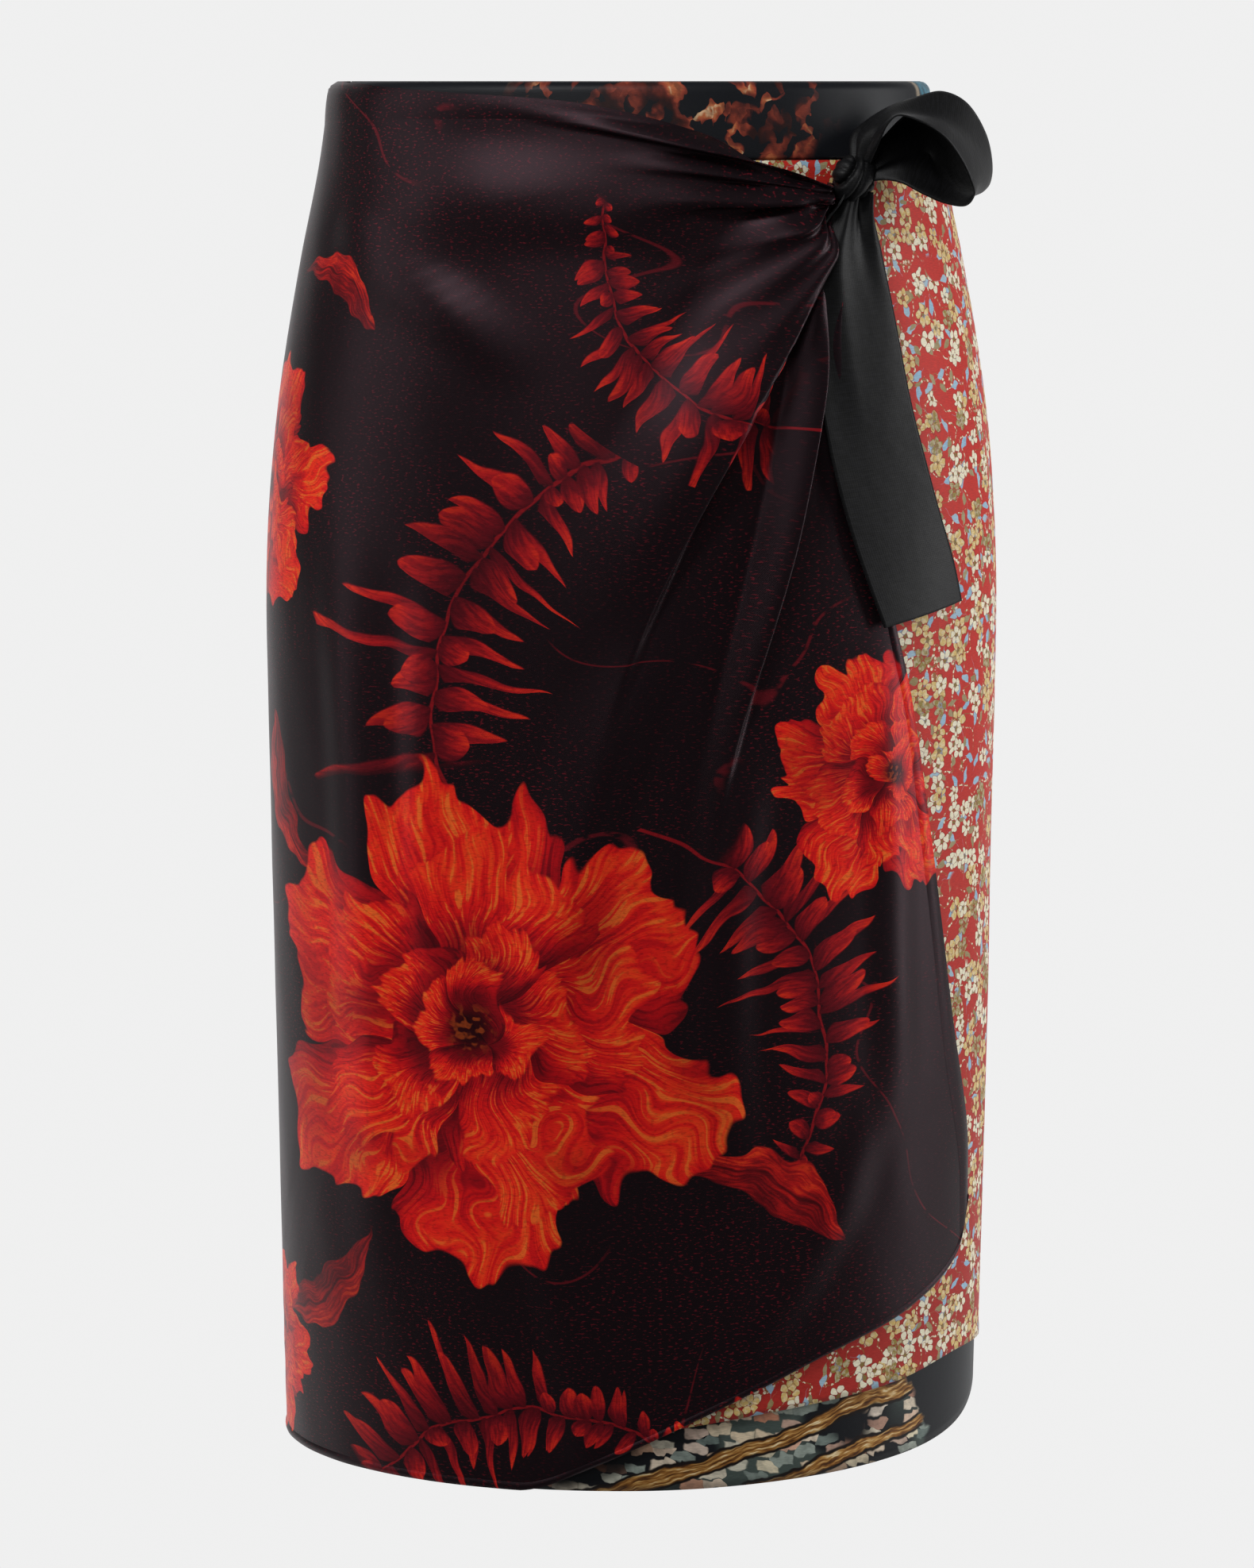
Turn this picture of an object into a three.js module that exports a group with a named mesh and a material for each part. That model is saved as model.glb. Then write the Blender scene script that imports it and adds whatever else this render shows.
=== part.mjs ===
// Wrap skirt in printed silk, tied at the wearer's left hip, on the hollow form it takes when worn.
//
// Millimetres, +Z up. The origin is the centre of the waist opening, the wearer's front faces -Y,
// and the tie is on the +X side. A place on the cloth is given as a turn, in degrees round the body
// from centre front towards +X, a drop below the waist, and a lift out from the body form.
import * as THREE from "three";

// Driving sizes.
const CLOTH = 1.2; // thickness of a panel's wall
const SEAM_GAP = 0.3; // clear gap where two panels are sewn together
const SIDE_SEAM = 100; // turn of both side seams, just behind the sides
const BACK_END = 360 - SIDE_SEAM; // the left side seam, reached round the back
const YOKE_EDGE = -72; // turn of the yoke's hidden end, beneath the outer panel
const UNDER_EDGE = -42; // turn of the long under panel's hidden edge
const LENGTH = 680; // waist to hem at centre front
const YOKE_DEPTH = 37; // height of the band under the waist
const MM_PER_DEGREE = 2.9; // length of one degree of turn on the front, for the folds

// The body form under the cloth: half width, and depth before and behind the side line.
const FORM = [
  { drop: 0, halfWidth: 145.5, front: 103, back: 99 },
  { drop: 40, halfWidth: 151, front: 108, back: 108 },
  { drop: 85, halfWidth: 160.5, front: 114, back: 120 },
  { drop: 130, halfWidth: 168.8, front: 119, back: 130 },
  { drop: 180, halfWidth: 175.5, front: 122.5, back: 135 },
  { drop: 240, halfWidth: 179.2, front: 125, back: 135 },
  { drop: 300, halfWidth: 179, front: 126, back: 132 },
  { drop: 400, halfWidth: 177.8, front: 126.5, back: 128.5 },
  { drop: 540, halfWidth: 175.8, front: 126.5, back: 126 },
  { drop: 680, halfWidth: 173.6, front: 126.5, back: 125 },
];

// Hem of the under layer and the back: level, with a curved rise at the right seam.
const UNDER_HEM = [
  { turn: -100, drop: 680 },
  { turn: 0, drop: 680 },
  { turn: 30, drop: 677.5 },
  { turn: 50, drop: 674.3 },
  { turn: 62, drop: 671 },
  { turn: 72, drop: 666.5 },
  { turn: 80, drop: 660.5 },
  { turn: 88, drop: 653.5 },
  { turn: 100, drop: 650 },
  { turn: 112, drop: 654 },
  { turn: 130, drop: 668 },
  { turn: 150, drop: 677.5 },
  { turn: 175, drop: 680 },
  { turn: 190, drop: 680 },
  { turn: 260, drop: 680 },
];

// Hem of the red panel, which falls short of the under layer.
const RED_HEM = [
  { turn: -30, drop: 658 },
  { turn: 0, drop: 651 },
  { turn: 21, drop: 643 },
  { turn: 46, drop: 636 },
  { turn: 65, drop: 629 },
  { turn: 85, drop: 631 },
  { turn: 100, drop: 634 },
];

// How far the inner face of each layer stands off the form. Each dies down to its side seam.
const RED_LIFT = [
  { turn: -30, lift: 2.2 },
  { turn: 88, lift: 2.2 },
  { turn: 100, lift: 1.6 },
];
const OUTER_LIFT = [
  { turn: -100, lift: 0 },
  { turn: -88, lift: 2.2 },
  { turn: -66, lift: 3.4 },
  { turn: -50, lift: 4.4 },
  { turn: 90, lift: 4.4 },
];

// Free edges of the outer panel, from the knot outwards.
const OUTER_TOP_EDGE = [
  { turn: 36.9, drop: 49 },
  { turn: 30.7, drop: 42.5 },
  { turn: 23.1, drop: 36 },
  { turn: 11.7, drop: 23.5 },
  { turn: -2.3, drop: 13.4 },
  { turn: -13.7, drop: 8.6 },
  { turn: -36, drop: 5 },
  { turn: -68, drop: 0.6 },
  { turn: -100, drop: 0 },
];
const OUTER_FRONT_EDGE = [
  { turn: 38.3, drop: 53 },
  { turn: 40.2, drop: 150 },
  { turn: 42, drop: 240 },
  { turn: 47.2, drop: 295 },
  { turn: 53.5, drop: 375 },
  { turn: 60.7, drop: 460 },
  { turn: 67, drop: 515 },
  { turn: 68.3, drop: 553 },
];
const OUTER_HEM = [
  { turn: -100, drop: LENGTH },
  { turn: -60, drop: LENGTH },
  { turn: -17.7, drop: LENGTH },
  { turn: -4.5, drop: 664.5 },
  { turn: 12.8, drop: 640 },
  { turn: 31.6, drop: 616 },
  { turn: 50.1, drop: 598 },
  { turn: 64, drop: 578 },
  { turn: 68.3, drop: 553 },
];
const SEAM_SHARE = 0.56; // share of the outer panel's far side that is side seam, the rest is hem

// Folds of the outer panel that run from the knot: three points on the crest, the spread of the
// cloth on the knot's left-hand side and right-hand side of it, and the height.
const FOLDS = [
  { name: "rolled edge", from: [35, 46], via: [14, 28], to: [-20, 11], left: 7, right: 9, height: 3 },
  { name: "upper gather", from: [35, 50], via: [16, 44], to: [-8, 38], left: 9, right: 9, height: 2.4 },
  { name: "lower gather", from: [35, 52], via: [22, 59], to: [-6, 61], left: 9, right: 11, height: 3 },
  { name: "hip swag", from: [-50, 86], via: [-34, 112], to: [-18, 138], left: 24, right: 24, height: 2 },
  { name: "pleat", from: [34, 62], via: [12.1, 168], to: [-8, 330], left: 36, right: 9, height: 5 },
  { name: "tuck", from: [31, 95], via: [20.5, 240], to: [9, 375], left: 17, right: 7, height: 3.4 },
  { name: "long ridge", from: [-6, 230], via: [-13, 350], to: [-16, 480], left: 34, right: 34, height: 2 },
];
const CREST_STEPS = 20; // chords that stand for a crest when the distance to it is measured

// The tie's tail from the knot to its cut end: its left edge, right edge and lift.
const TAIL = [
  { leftTurn: 36.5, leftDrop: 58, rightTurn: 41.5, rightDrop: 58.5, lift: 12 },
  { leftTurn: 32.5, leftDrop: 69, rightTurn: 42, rightDrop: 67, lift: 11.5 },
  { leftTurn: 28.6, leftDrop: 85, rightTurn: 43.7, rightDrop: 81, lift: 11 },
  { leftTurn: 28, leftDrop: 110, rightTurn: 45.1, rightDrop: 105, lift: 10.5 },
  { leftTurn: 29.5, leftDrop: 148, rightTurn: 46.9, rightDrop: 145, lift: 9.8 },
  { leftTurn: 31, leftDrop: 178, rightTurn: 48.8, rightDrop: 172, lift: 9.2 },
  { leftTurn: 33.5, leftDrop: 208, rightTurn: 52, rightDrop: 203, lift: 8.6 },
  { leftTurn: 36.7, leftDrop: 236, rightTurn: 55.6, rightDrop: 229, lift: 8.2 },
  { leftTurn: 39.9, leftDrop: 259.4, rightTurn: 58.2, rightDrop: 249.6, lift: 8 },
];

// The bow's one loop, from the top of the knot, up and round to its right side: the edge of the
// ribbon next to the body, and the edge away from it.
const LOOP = [
  { inner: [104, -91, -33], outer: [113, -101, -35] },
  { inner: [106, -88, -26], outer: [117, -108, -27] },
  { inner: [112.5, -84, -19], outer: [120.5, -113, -20] },
  { inner: [123, -80, -12.5], outer: [126, -115, -16] },
  { inner: [136, -75, -8], outer: [137, -113, -19.5] },
  { inner: [148.5, -71, -5.3], outer: [147, -109.5, -26] },
  { inner: [160.5, -69, -11], outer: [154.5, -106, -35.5] },
  { inner: [169.5, -68, -25.5], outer: [159.5, -104, -45] },
  { inner: [172.5, -68, -41], outer: [161.5, -103, -52.5] },
  { inner: [170, -69, -50], outer: [157.5, -103, -57.5] },
  { inner: [164, -70, -46], outer: [148, -104, -56.3] },
  { inner: [152, -72, -27], outer: [138, -105, -52.3] },
  { inner: [136, -76, -15], outer: [128, -103, -47.6] },
  { inner: [120, -88, -28], outer: [119.5, -99, -46.5] },
];
const RIBBON = 1; // thickness of the tie's ribbon in the loop and tail

// The knot: half its width, depth and height, its place, its turn to face out, and its gathers.
const KNOT = { halfWidth: 11, halfDepth: 7, halfHeight: 10.5, at: [105.4, -94.4, -45.3], turn: 31 };
const KNOT_GATHERS = 5; // ridges across the knot
const KNOT_RIDGE = 0.06; // their height as a share of the knot's size

const DARK_FLORAL = { color: 0x1c1418, roughness: 0.5, metalness: 0 };
const UNDER_PRINT = { color: 0x2a2622, roughness: 0.5, metalness: 0 };
const RED_DITSY = { color: 0xb8322a, roughness: 0.6, metalness: 0 };
const TIE_SILK = { color: 0x0c0c0e, roughness: 0.6, metalness: 0 };

/** A smooth curve through a table's rows: its column `value` as a function of its column `key`. */
function smooth(rows, key, value) {
  const last = rows.length - 1;
  const slope = (i) => {
    const before = rows[Math.max(i - 1, 0)];
    const after = rows[Math.min(i + 1, last)];
    return (after[value] - before[value]) / (after[key] - before[key]);
  };
  return (x) => {
    if (x <= rows[0][key]) return rows[0][value];
    if (x >= rows[last][key]) return rows[last][value];
    let i = 0;
    while (x > rows[i + 1][key]) i += 1;
    const span = rows[i + 1][key] - rows[i][key];
    const t = (x - rows[i][key]) / span;
    const ease = t * t * (3 - 2 * t);
    const leave = t * (1 - t) * (1 - t) * span * slope(i);
    const arrive = t * t * (1 - t) * span * slope(i + 1);
    return rows[i][value] * (1 - ease) + rows[i + 1][value] * ease + leave - arrive;
  };
}

/** A smooth path through a table's places, as a function from 0 to 1 along it. */
function path(rows) {
  const points = rows.map(({ turn, drop }) => new THREE.Vector3(turn * MM_PER_DEGREE, drop, 0));
  const curve = new THREE.CatmullRomCurve3(points);
  return (t) => {
    const p = curve.getPointAt(t);
    return { turn: p.x / MM_PER_DEGREE, drop: p.y };
  };
}

const halfWidthAt = smooth(FORM, "drop", "halfWidth");
const frontAt = smooth(FORM, "drop", "front");
const backAt = smooth(FORM, "drop", "back");
const redLiftAt = smooth(RED_LIFT, "turn", "lift");
const outerLiftAt = smooth(OUTER_LIFT, "turn", "lift");

/** The point at a turn, a drop and a lift. */
function onForm(turn, drop, lift) {
  const angle = THREE.MathUtils.degToRad(turn);
  const depth = Math.cos(angle) > 0 ? frontAt(drop) : backAt(drop);
  const x = (halfWidthAt(drop) + lift) * Math.sin(angle);
  const y = -(depth + lift) * Math.cos(angle);
  return new THREE.Vector3(x, y, -drop);
}

/** Height of one fold at a place: full on its crest, none past its spread and at its ends. */
function foldHeight(fold, turn, drop) {
  const flat = ([t, d]) => new THREE.Vector2(t * MM_PER_DEGREE, d);
  const [start, middle, end] = [fold.from, fold.via, fold.to].map(flat);
  const pull = middle.multiplyScalar(2).addScaledVector(start, -0.5).addScaledVector(end, -0.5);
  const crest = new THREE.QuadraticBezierCurve(start, pull, end);
  const here = flat([turn, drop]);
  let nearest = { distance: Infinity, along: 0, side: 0 };
  for (let i = 0; i < CREST_STEPS; i += 1) {
    const a = crest.getPoint(i / CREST_STEPS);
    const b = crest.getPoint((i + 1) / CREST_STEPS);
    const step = b.clone().sub(a);
    const offset = here.clone().sub(a);
    const share = THREE.MathUtils.clamp(offset.dot(step) / step.lengthSq(), 0, 1);
    const distance = offset.distanceTo(step.clone().multiplyScalar(share));
    if (distance < nearest.distance)
      nearest = { distance, along: (i + share) / CREST_STEPS, side: offset.cross(step) };
  }
  const spread = nearest.side > 0 ? fold.right : fold.left;
  const across = Math.min(nearest.distance / spread, 1);
  const swell = THREE.MathUtils.smoothstep(nearest.along, 0, 0.3);
  const fade = 1 - THREE.MathUtils.smoothstep(nearest.along, 0.6, 1);
  return fold.height * swell * fade * 0.5 * (1 + Math.cos(Math.PI * across));
}

/** How far the folds lift the outer panel at a place. */
function foldLift(turn, drop) {
  return FOLDS.reduce((sum, fold) => sum + foldHeight(fold, turn, drop), 0);
}

/**
 * A wall of cloth: a flat board bent to shape. `place` gives the point for a share across the
 * wall, a share down it, and a distance out from its inner face.
 */
function clothWall(name, finish, { columns, rows, thickness = CLOTH }, place) {
  const geometry = new THREE.BoxGeometry(1, 1, 1, columns, rows, 1);
  const points = geometry.getAttribute("position");
  for (let i = 0; i < points.count; i += 1) {
    const across = Math.round((points.getX(i) + 0.5) * columns) / columns;
    const down = Math.round((0.5 - points.getY(i)) * rows) / rows;
    const out = points.getZ(i) > 0 ? thickness : 0;
    points.setXYZ(i, ...place(across, down, out).toArray());
  }
  geometry.computeVertexNormals();
  const mesh = new THREE.Mesh(geometry, new THREE.MeshStandardMaterial(finish));
  mesh.name = name;
  return mesh;
}

const mix = THREE.MathUtils.lerp;

/** The band of dark print that shows above the outer panel. */
function frontYoke() {
  return clothWall("front_yoke", UNDER_PRINT, { columns: 28, rows: 2 }, (across, down, out) =>
    onForm(mix(YOKE_EDGE, SIDE_SEAM, across), YOKE_DEPTH * down, out),
  );
}

/** The dark print's long panel, which shows under the red panel's hem. */
function underFront() {
  const hemAt = smooth(UNDER_HEM, "turn", "drop");
  return clothWall("under_front", UNDER_PRINT, { columns: 24, rows: 12 }, (across, down, out) => {
    const turn = mix(UNDER_EDGE, SIDE_SEAM, across);
    return onForm(turn, mix(YOKE_DEPTH + SEAM_GAP, hemAt(turn), down), out);
  });
}

/** The red panel, sewn into the yoke's seam and the right side seam. */
function redPanel() {
  const freeEdge = RED_HEM[0].turn;
  const hemAt = smooth(RED_HEM, "turn", "drop");
  return clothWall("red_panel", RED_DITSY, { columns: 20, rows: 12 }, (across, down, out) => {
    const turn = mix(freeEdge, SIDE_SEAM, across);
    const lift = redLiftAt(turn) + out;
    return onForm(turn, mix(YOKE_DEPTH, hemAt(turn), down), lift);
  });
}

/** The back, from the right side seam round to the left one. */
function backPanel() {
  const gapTurn = SEAM_GAP / MM_PER_DEGREE + 0.05;
  const hemAt = smooth(UNDER_HEM, "turn", "drop");
  return clothWall("back_panel", DARK_FLORAL, { columns: 24, rows: 12 }, (across, down, out) => {
    const turn = mix(SIDE_SEAM + gapTurn, BACK_END - gapTurn, across);
    return onForm(turn, down * hemAt(turn), out);
  });
}

/** The outer panel: it wraps from the left side seam and is gathered into the knot. */
function outerPanel() {
  const topEdge = path(OUTER_TOP_EDGE);
  const frontEdge = path(OUTER_FRONT_EDGE);
  const hem = path(OUTER_HEM);
  const gathered = (share) => ({
    turn: mix(topEdge(0).turn, frontEdge(0).turn, share),
    drop: mix(topEdge(0).drop, frontEdge(0).drop, share),
  });
  const farSide = (share) => {
    if (share < SEAM_SHARE) return { turn: -SIDE_SEAM, drop: (LENGTH * share) / SEAM_SHARE };
    const { turn, drop } = hem((share - SEAM_SHARE) / (1 - SEAM_SHARE));
    return { turn, drop: Math.min(drop, LENGTH) };
  };
  // The four sides are blended, so that the grid's long lines run out from the knot.
  const blend = (share, reach, key) => {
    const sides = mix(topEdge(reach)[key], frontEdge(reach)[key], share);
    const ends = mix(gathered(share)[key], farSide(share)[key], reach);
    const near = mix(gathered(0)[key], gathered(1)[key], share);
    const far = mix(farSide(0)[key], farSide(1)[key], share);
    return sides + ends - mix(near, far, reach);
  };
  return clothWall("outer_panel", DARK_FLORAL, { columns: 27, rows: 34 }, (across, down, out) => {
    const turn = blend(down, 1 - across, "turn");
    const drop = blend(down, 1 - across, "drop");
    return onForm(turn, drop, outerLiftAt(turn) + foldLift(turn, drop) + out);
  });
}

/** The tie's free end, which hangs from the knot over the front edge. */
function tieTail() {
  const rows = TAIL.map((row, i) => ({ ...row, share: i / (TAIL.length - 1) }));
  const at = (column) => smooth(rows, "share", column);
  const columns = ["leftTurn", "leftDrop", "rightTurn", "rightDrop", "lift"];
  const [leftTurn, leftDrop, rightTurn, rightDrop, lift] = columns.map(at);
  const size = { columns: 4, rows: 16, thickness: RIBBON };
  return clothWall("tie_tail", TIE_SILK, size, (across, down, out) =>
    onForm(
      mix(leftTurn(down), rightTurn(down), across),
      mix(leftDrop(down), rightDrop(down), across),
      lift(down) + out,
    ),
  );
}

/** The bow's loop, a ribbon between its two edges. */
function tieLoop() {
  const edge = (key) => new THREE.CatmullRomCurve3(LOOP.map((row) => new THREE.Vector3(...row[key])));
  const innerEdge = edge("inner");
  const outerEdge = edge("outer");
  const steps = 26;
  const size = { columns: steps, rows: 3, thickness: RIBBON };
  return clothWall("tie_loop", TIE_SILK, size, (across, down, out) => {
    const a = innerEdge.getPoint(across);
    const b = outerEdge.getPoint(across);
    const along = innerEdge.getTangent(across).add(outerEdge.getTangent(across));
    const away = b.clone().sub(a).cross(along).normalize();
    return a.lerp(b, down).addScaledVector(away, out);
  });
}

/** The knot, gathered by the wraps of the tie round it. */
function tieKnot() {
  const geometry = new THREE.SphereGeometry(1, 20, 10);
  const points = geometry.getAttribute("position");
  for (let i = 0; i < points.count; i += 1) {
    const p = new THREE.Vector3().fromBufferAttribute(points, i);
    const ridge = 1 + KNOT_RIDGE * Math.cos(KNOT_GATHERS * Math.atan2(p.z, p.x)) * (1 - p.y * p.y);
    points.setXYZ(i, p.x * ridge, p.y, p.z * ridge);
  }
  geometry.computeVertexNormals();
  const mesh = new THREE.Mesh(geometry, new THREE.MeshStandardMaterial(TIE_SILK));
  mesh.name = "tie_knot";
  mesh.scale.set(KNOT.halfWidth, KNOT.halfDepth, KNOT.halfHeight);
  mesh.position.set(...KNOT.at);
  mesh.rotation.z = THREE.MathUtils.degToRad(KNOT.turn);
  return mesh;
}

const panels = new THREE.Group();
panels.add(frontYoke(), underFront(), redPanel(), outerPanel(), backPanel());

const tie = new THREE.Group();
tie.add(tieKnot(), tieLoop(), tieTail());

const skirt = new THREE.Group();
skirt.add(panels, tie);

export default skirt;
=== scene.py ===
"""A printed silk wrap skirt, tied at the hip, on the hollow form it takes when worn.

Tables are in millimetres and degrees. A place on the cloth is a turn round the body from centre
front towards +X, a drop below the waist, and a lift out from the body form. Meshes are in metres.
"""

import logging
import math
from abc import ABC, abstractmethod
from collections.abc import Callable, Sequence
from dataclasses import dataclass, field
from enum import Enum

import bmesh
import bpy
import numpy as np
from mathutils import Matrix, Vector


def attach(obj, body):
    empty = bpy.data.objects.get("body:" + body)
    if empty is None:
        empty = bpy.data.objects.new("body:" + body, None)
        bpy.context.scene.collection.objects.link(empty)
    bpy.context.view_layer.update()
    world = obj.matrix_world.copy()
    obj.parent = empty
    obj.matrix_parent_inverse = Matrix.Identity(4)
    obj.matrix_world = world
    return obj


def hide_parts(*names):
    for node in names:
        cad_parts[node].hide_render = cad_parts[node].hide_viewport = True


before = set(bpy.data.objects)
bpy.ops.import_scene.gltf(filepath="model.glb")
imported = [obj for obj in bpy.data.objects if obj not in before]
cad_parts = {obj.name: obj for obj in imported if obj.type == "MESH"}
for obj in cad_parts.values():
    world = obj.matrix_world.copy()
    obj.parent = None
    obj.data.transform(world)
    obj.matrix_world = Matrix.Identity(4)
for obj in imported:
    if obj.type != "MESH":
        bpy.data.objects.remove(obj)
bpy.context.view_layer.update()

log = logging.getLogger("wrap_skirt")

MM = 0.001
SIDE_SEAM = 100.0  # turn of the side seams, just behind the sides
BACK_END = 360.0 - SIDE_SEAM
YOKE_EDGE = -72.0  # the yoke's hidden end
UNDER_EDGE = -42.0  # the under panel's hidden edge
LENGTH = 680.0
YOKE_DEPTH = 37.0
SEAM_GAP = 0.3
RIM_RADIUS = 4.5  # how the cloth rolls in at the waist
MM_PER_DEGREE = 2.9  # one degree of turn on the front, for folds and edges
PAPER_TONE = 0.868  # how pale the floor, the backdrop and the room look
FULL_TURN = 6.283  # in radians, for random spins
CLOTH_UV = "cloth"
ROOT = "root"

Array = np.ndarray
Rows = Sequence[tuple[float, ...]]


class Layer(Enum):
    """The layers of cloth over the body form, with the lift of each one's middle."""

    UNDER = 0.7
    RED = 2.8
    OUTER = 5.1


class Hold(Enum):
    """How a sheet of cloth is held."""

    HUNG = "hung"
    GATHERED = "gathered"
    FOLDED = "folded"


# --- Curves and the body form


@dataclass(frozen=True)
class Curve:
    """A smooth curve through rows of (key, value), level beyond its ends."""

    rows: Rows

    def at(self, key: Array | float) -> Array:
        """The curve's values.

        Args:
            key: where to read the curve.

        Returns:
            One value for each key.
        """
        table = np.asarray(self.rows, float)
        keys, values = table[:, 0], table[:, 1]
        before, after = np.r_[0, 0 : len(keys) - 1], np.r_[1 : len(keys), len(keys) - 1]
        slopes = (values[after] - values[before]) / (keys[after] - keys[before])
        here = np.clip(np.asarray(key, float), keys[0], keys[-1])
        i = np.clip(np.searchsorted(keys, here, side="right") - 1, 0, len(keys) - 2)
        span = keys[i + 1] - keys[i]
        t = (here - keys[i]) / span
        ease = t * t * (3 - 2 * t)
        leave = t * (1 - t) ** 2 * span * slopes[i]
        arrive = t * t * (1 - t) * span * slopes[i + 1]
        return values[i] * (1 - ease) + values[i + 1] * ease + leave - arrive


def smoothstep(value: Array, low: float, high: float) -> Array:
    """A smooth rise from 0 at low to 1 at high."""
    t = np.clip((value - low) / (high - low), 0.0, 1.0)
    return t * t * (3 - 2 * t)


def bell(value: Array | float, at: float, width: float) -> Array:
    """A bell curve, 1 at one value and near 0 beyond twice its width."""
    return np.exp(-(((value - at) / width) ** 2))


def mix(low: Array | float, high: Array | float, share: Array | float) -> Array:
    """The value a share of the way from low to high."""
    return low + (high - low) * share


@dataclass(frozen=True)
class Edge:
    """A smooth edge through places (turn, drop), read from 0 to 1 by length."""

    rows: Rows

    def at(self, share: Array) -> tuple[Array, Array]:
        """The places at shares of the edge's length.

        Args:
            share: from 0 at the first row to 1 at the last.

        Returns:
            The turns and the drops.
        """
        table = np.asarray(self.rows, float)
        steps = np.hypot(np.diff(table[:, 0]) * MM_PER_DEGREE, np.diff(table[:, 1]))
        lengths = np.r_[0.0, np.cumsum(steps)]
        here = np.asarray(share, float) * lengths[-1]
        turn = Curve(tuple(zip(lengths, table[:, 0]))).at(here)
        drop = Curve(tuple(zip(lengths, table[:, 1]))).at(here)
        return turn, drop


class BodyForm:
    """The hollow worn form: half width, and depth before and behind the side line."""

    HALF_WIDTH = Curve(
        ((0, 145.5), (40, 151), (85, 160.5), (130, 168.8), (180, 175.5), (240, 179.2), (300, 179),
         (400, 177.8), (540, 175.8), (680, 173.6))
    )
    FRONT = Curve(
        ((0, 103), (40, 108), (85, 114), (130, 119), (180, 122.5), (240, 125), (300, 126),
         (400, 126.5), (540, 126.5), (680, 126.5))
    )
    BACK = Curve(
        ((0, 99), (40, 108), (85, 120), (130, 130), (180, 135), (240, 135), (300, 132),
         (400, 128.5), (540, 126), (680, 125))
    )
    HIP_DROP = 260.0  # where the cloth's flat width is measured

    def point(self, turn: Array, drop: Array, lift: Array | float) -> Array:
        """Points on the cloth.

        Args:
            turn: degrees round from centre front.
            drop: millimetres below the waist.
            lift: millimetres out from the form.

        Returns:
            One row of x, y, z in metres for each place.
        """
        angle = np.radians(turn)
        depth = np.where(np.cos(angle) > 0, self.FRONT.at(drop), self.BACK.at(drop))
        short = np.maximum(RIM_RADIUS - drop, 0.0)
        out = lift - (RIM_RADIUS - np.sqrt(RIM_RADIUS**2 - short**2))
        x = (self.HALF_WIDTH.at(drop) + out) * np.sin(angle)
        y = -(depth + out) * np.cos(angle)
        return np.stack([x, y, -drop + 0.0 * x], axis=-1) * MM

    def girth(self, turn: Array) -> Array:
        """The flat distance round the hips from centre front, in metres."""
        fine = np.linspace(-120.0, 280.0, 801)
        angle = np.radians(fine)
        curves = (self.HALF_WIDTH, self.FRONT, self.BACK)
        wide, before, behind = (curve.at(self.HIP_DROP) for curve in curves)
        deep = np.where(np.cos(angle) > 0, before, behind)
        pace = np.hypot(wide * np.cos(angle), deep * np.sin(angle)) * np.radians(fine[1] - fine[0])
        run = np.r_[0.0, np.cumsum((pace[1:] + pace[:-1]) / 2)]
        return (np.interp(turn, fine, run) - np.interp(0.0, fine, run)) * MM

    def flat(self, turn: Array, drop: Array) -> Array:
        """Places on the flat cloth, in metres: across from centre front, and up from the waist."""
        return np.stack([self.girth(turn), -drop * MM], axis=-1)


FORM = BodyForm()

UNDER_HEM = Curve(
    ((-100, 680), (0, 680), (30, 677.5), (50, 674.3), (62, 671), (72, 666.5), (80, 660.5),
     (88, 653.5), (100, 650), (112, 654), (130, 668), (150, 677.5), (175, 680), (190, 680),
     (260, 680))
)
RED_HEM = Curve(((-30, 658), (0, 651), (21, 643), (46, 636), (65, 629), (85, 631), (100, 634)))
RED_LIFT = Curve(((-30, 0), (88, 0), (100, -0.6)))
OUTER_LIFT = Curve(((-100, -4.4), (-88, -2.2), (-66, -1.0), (-50, 0), (90, 0)))


# --- Folds


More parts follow.
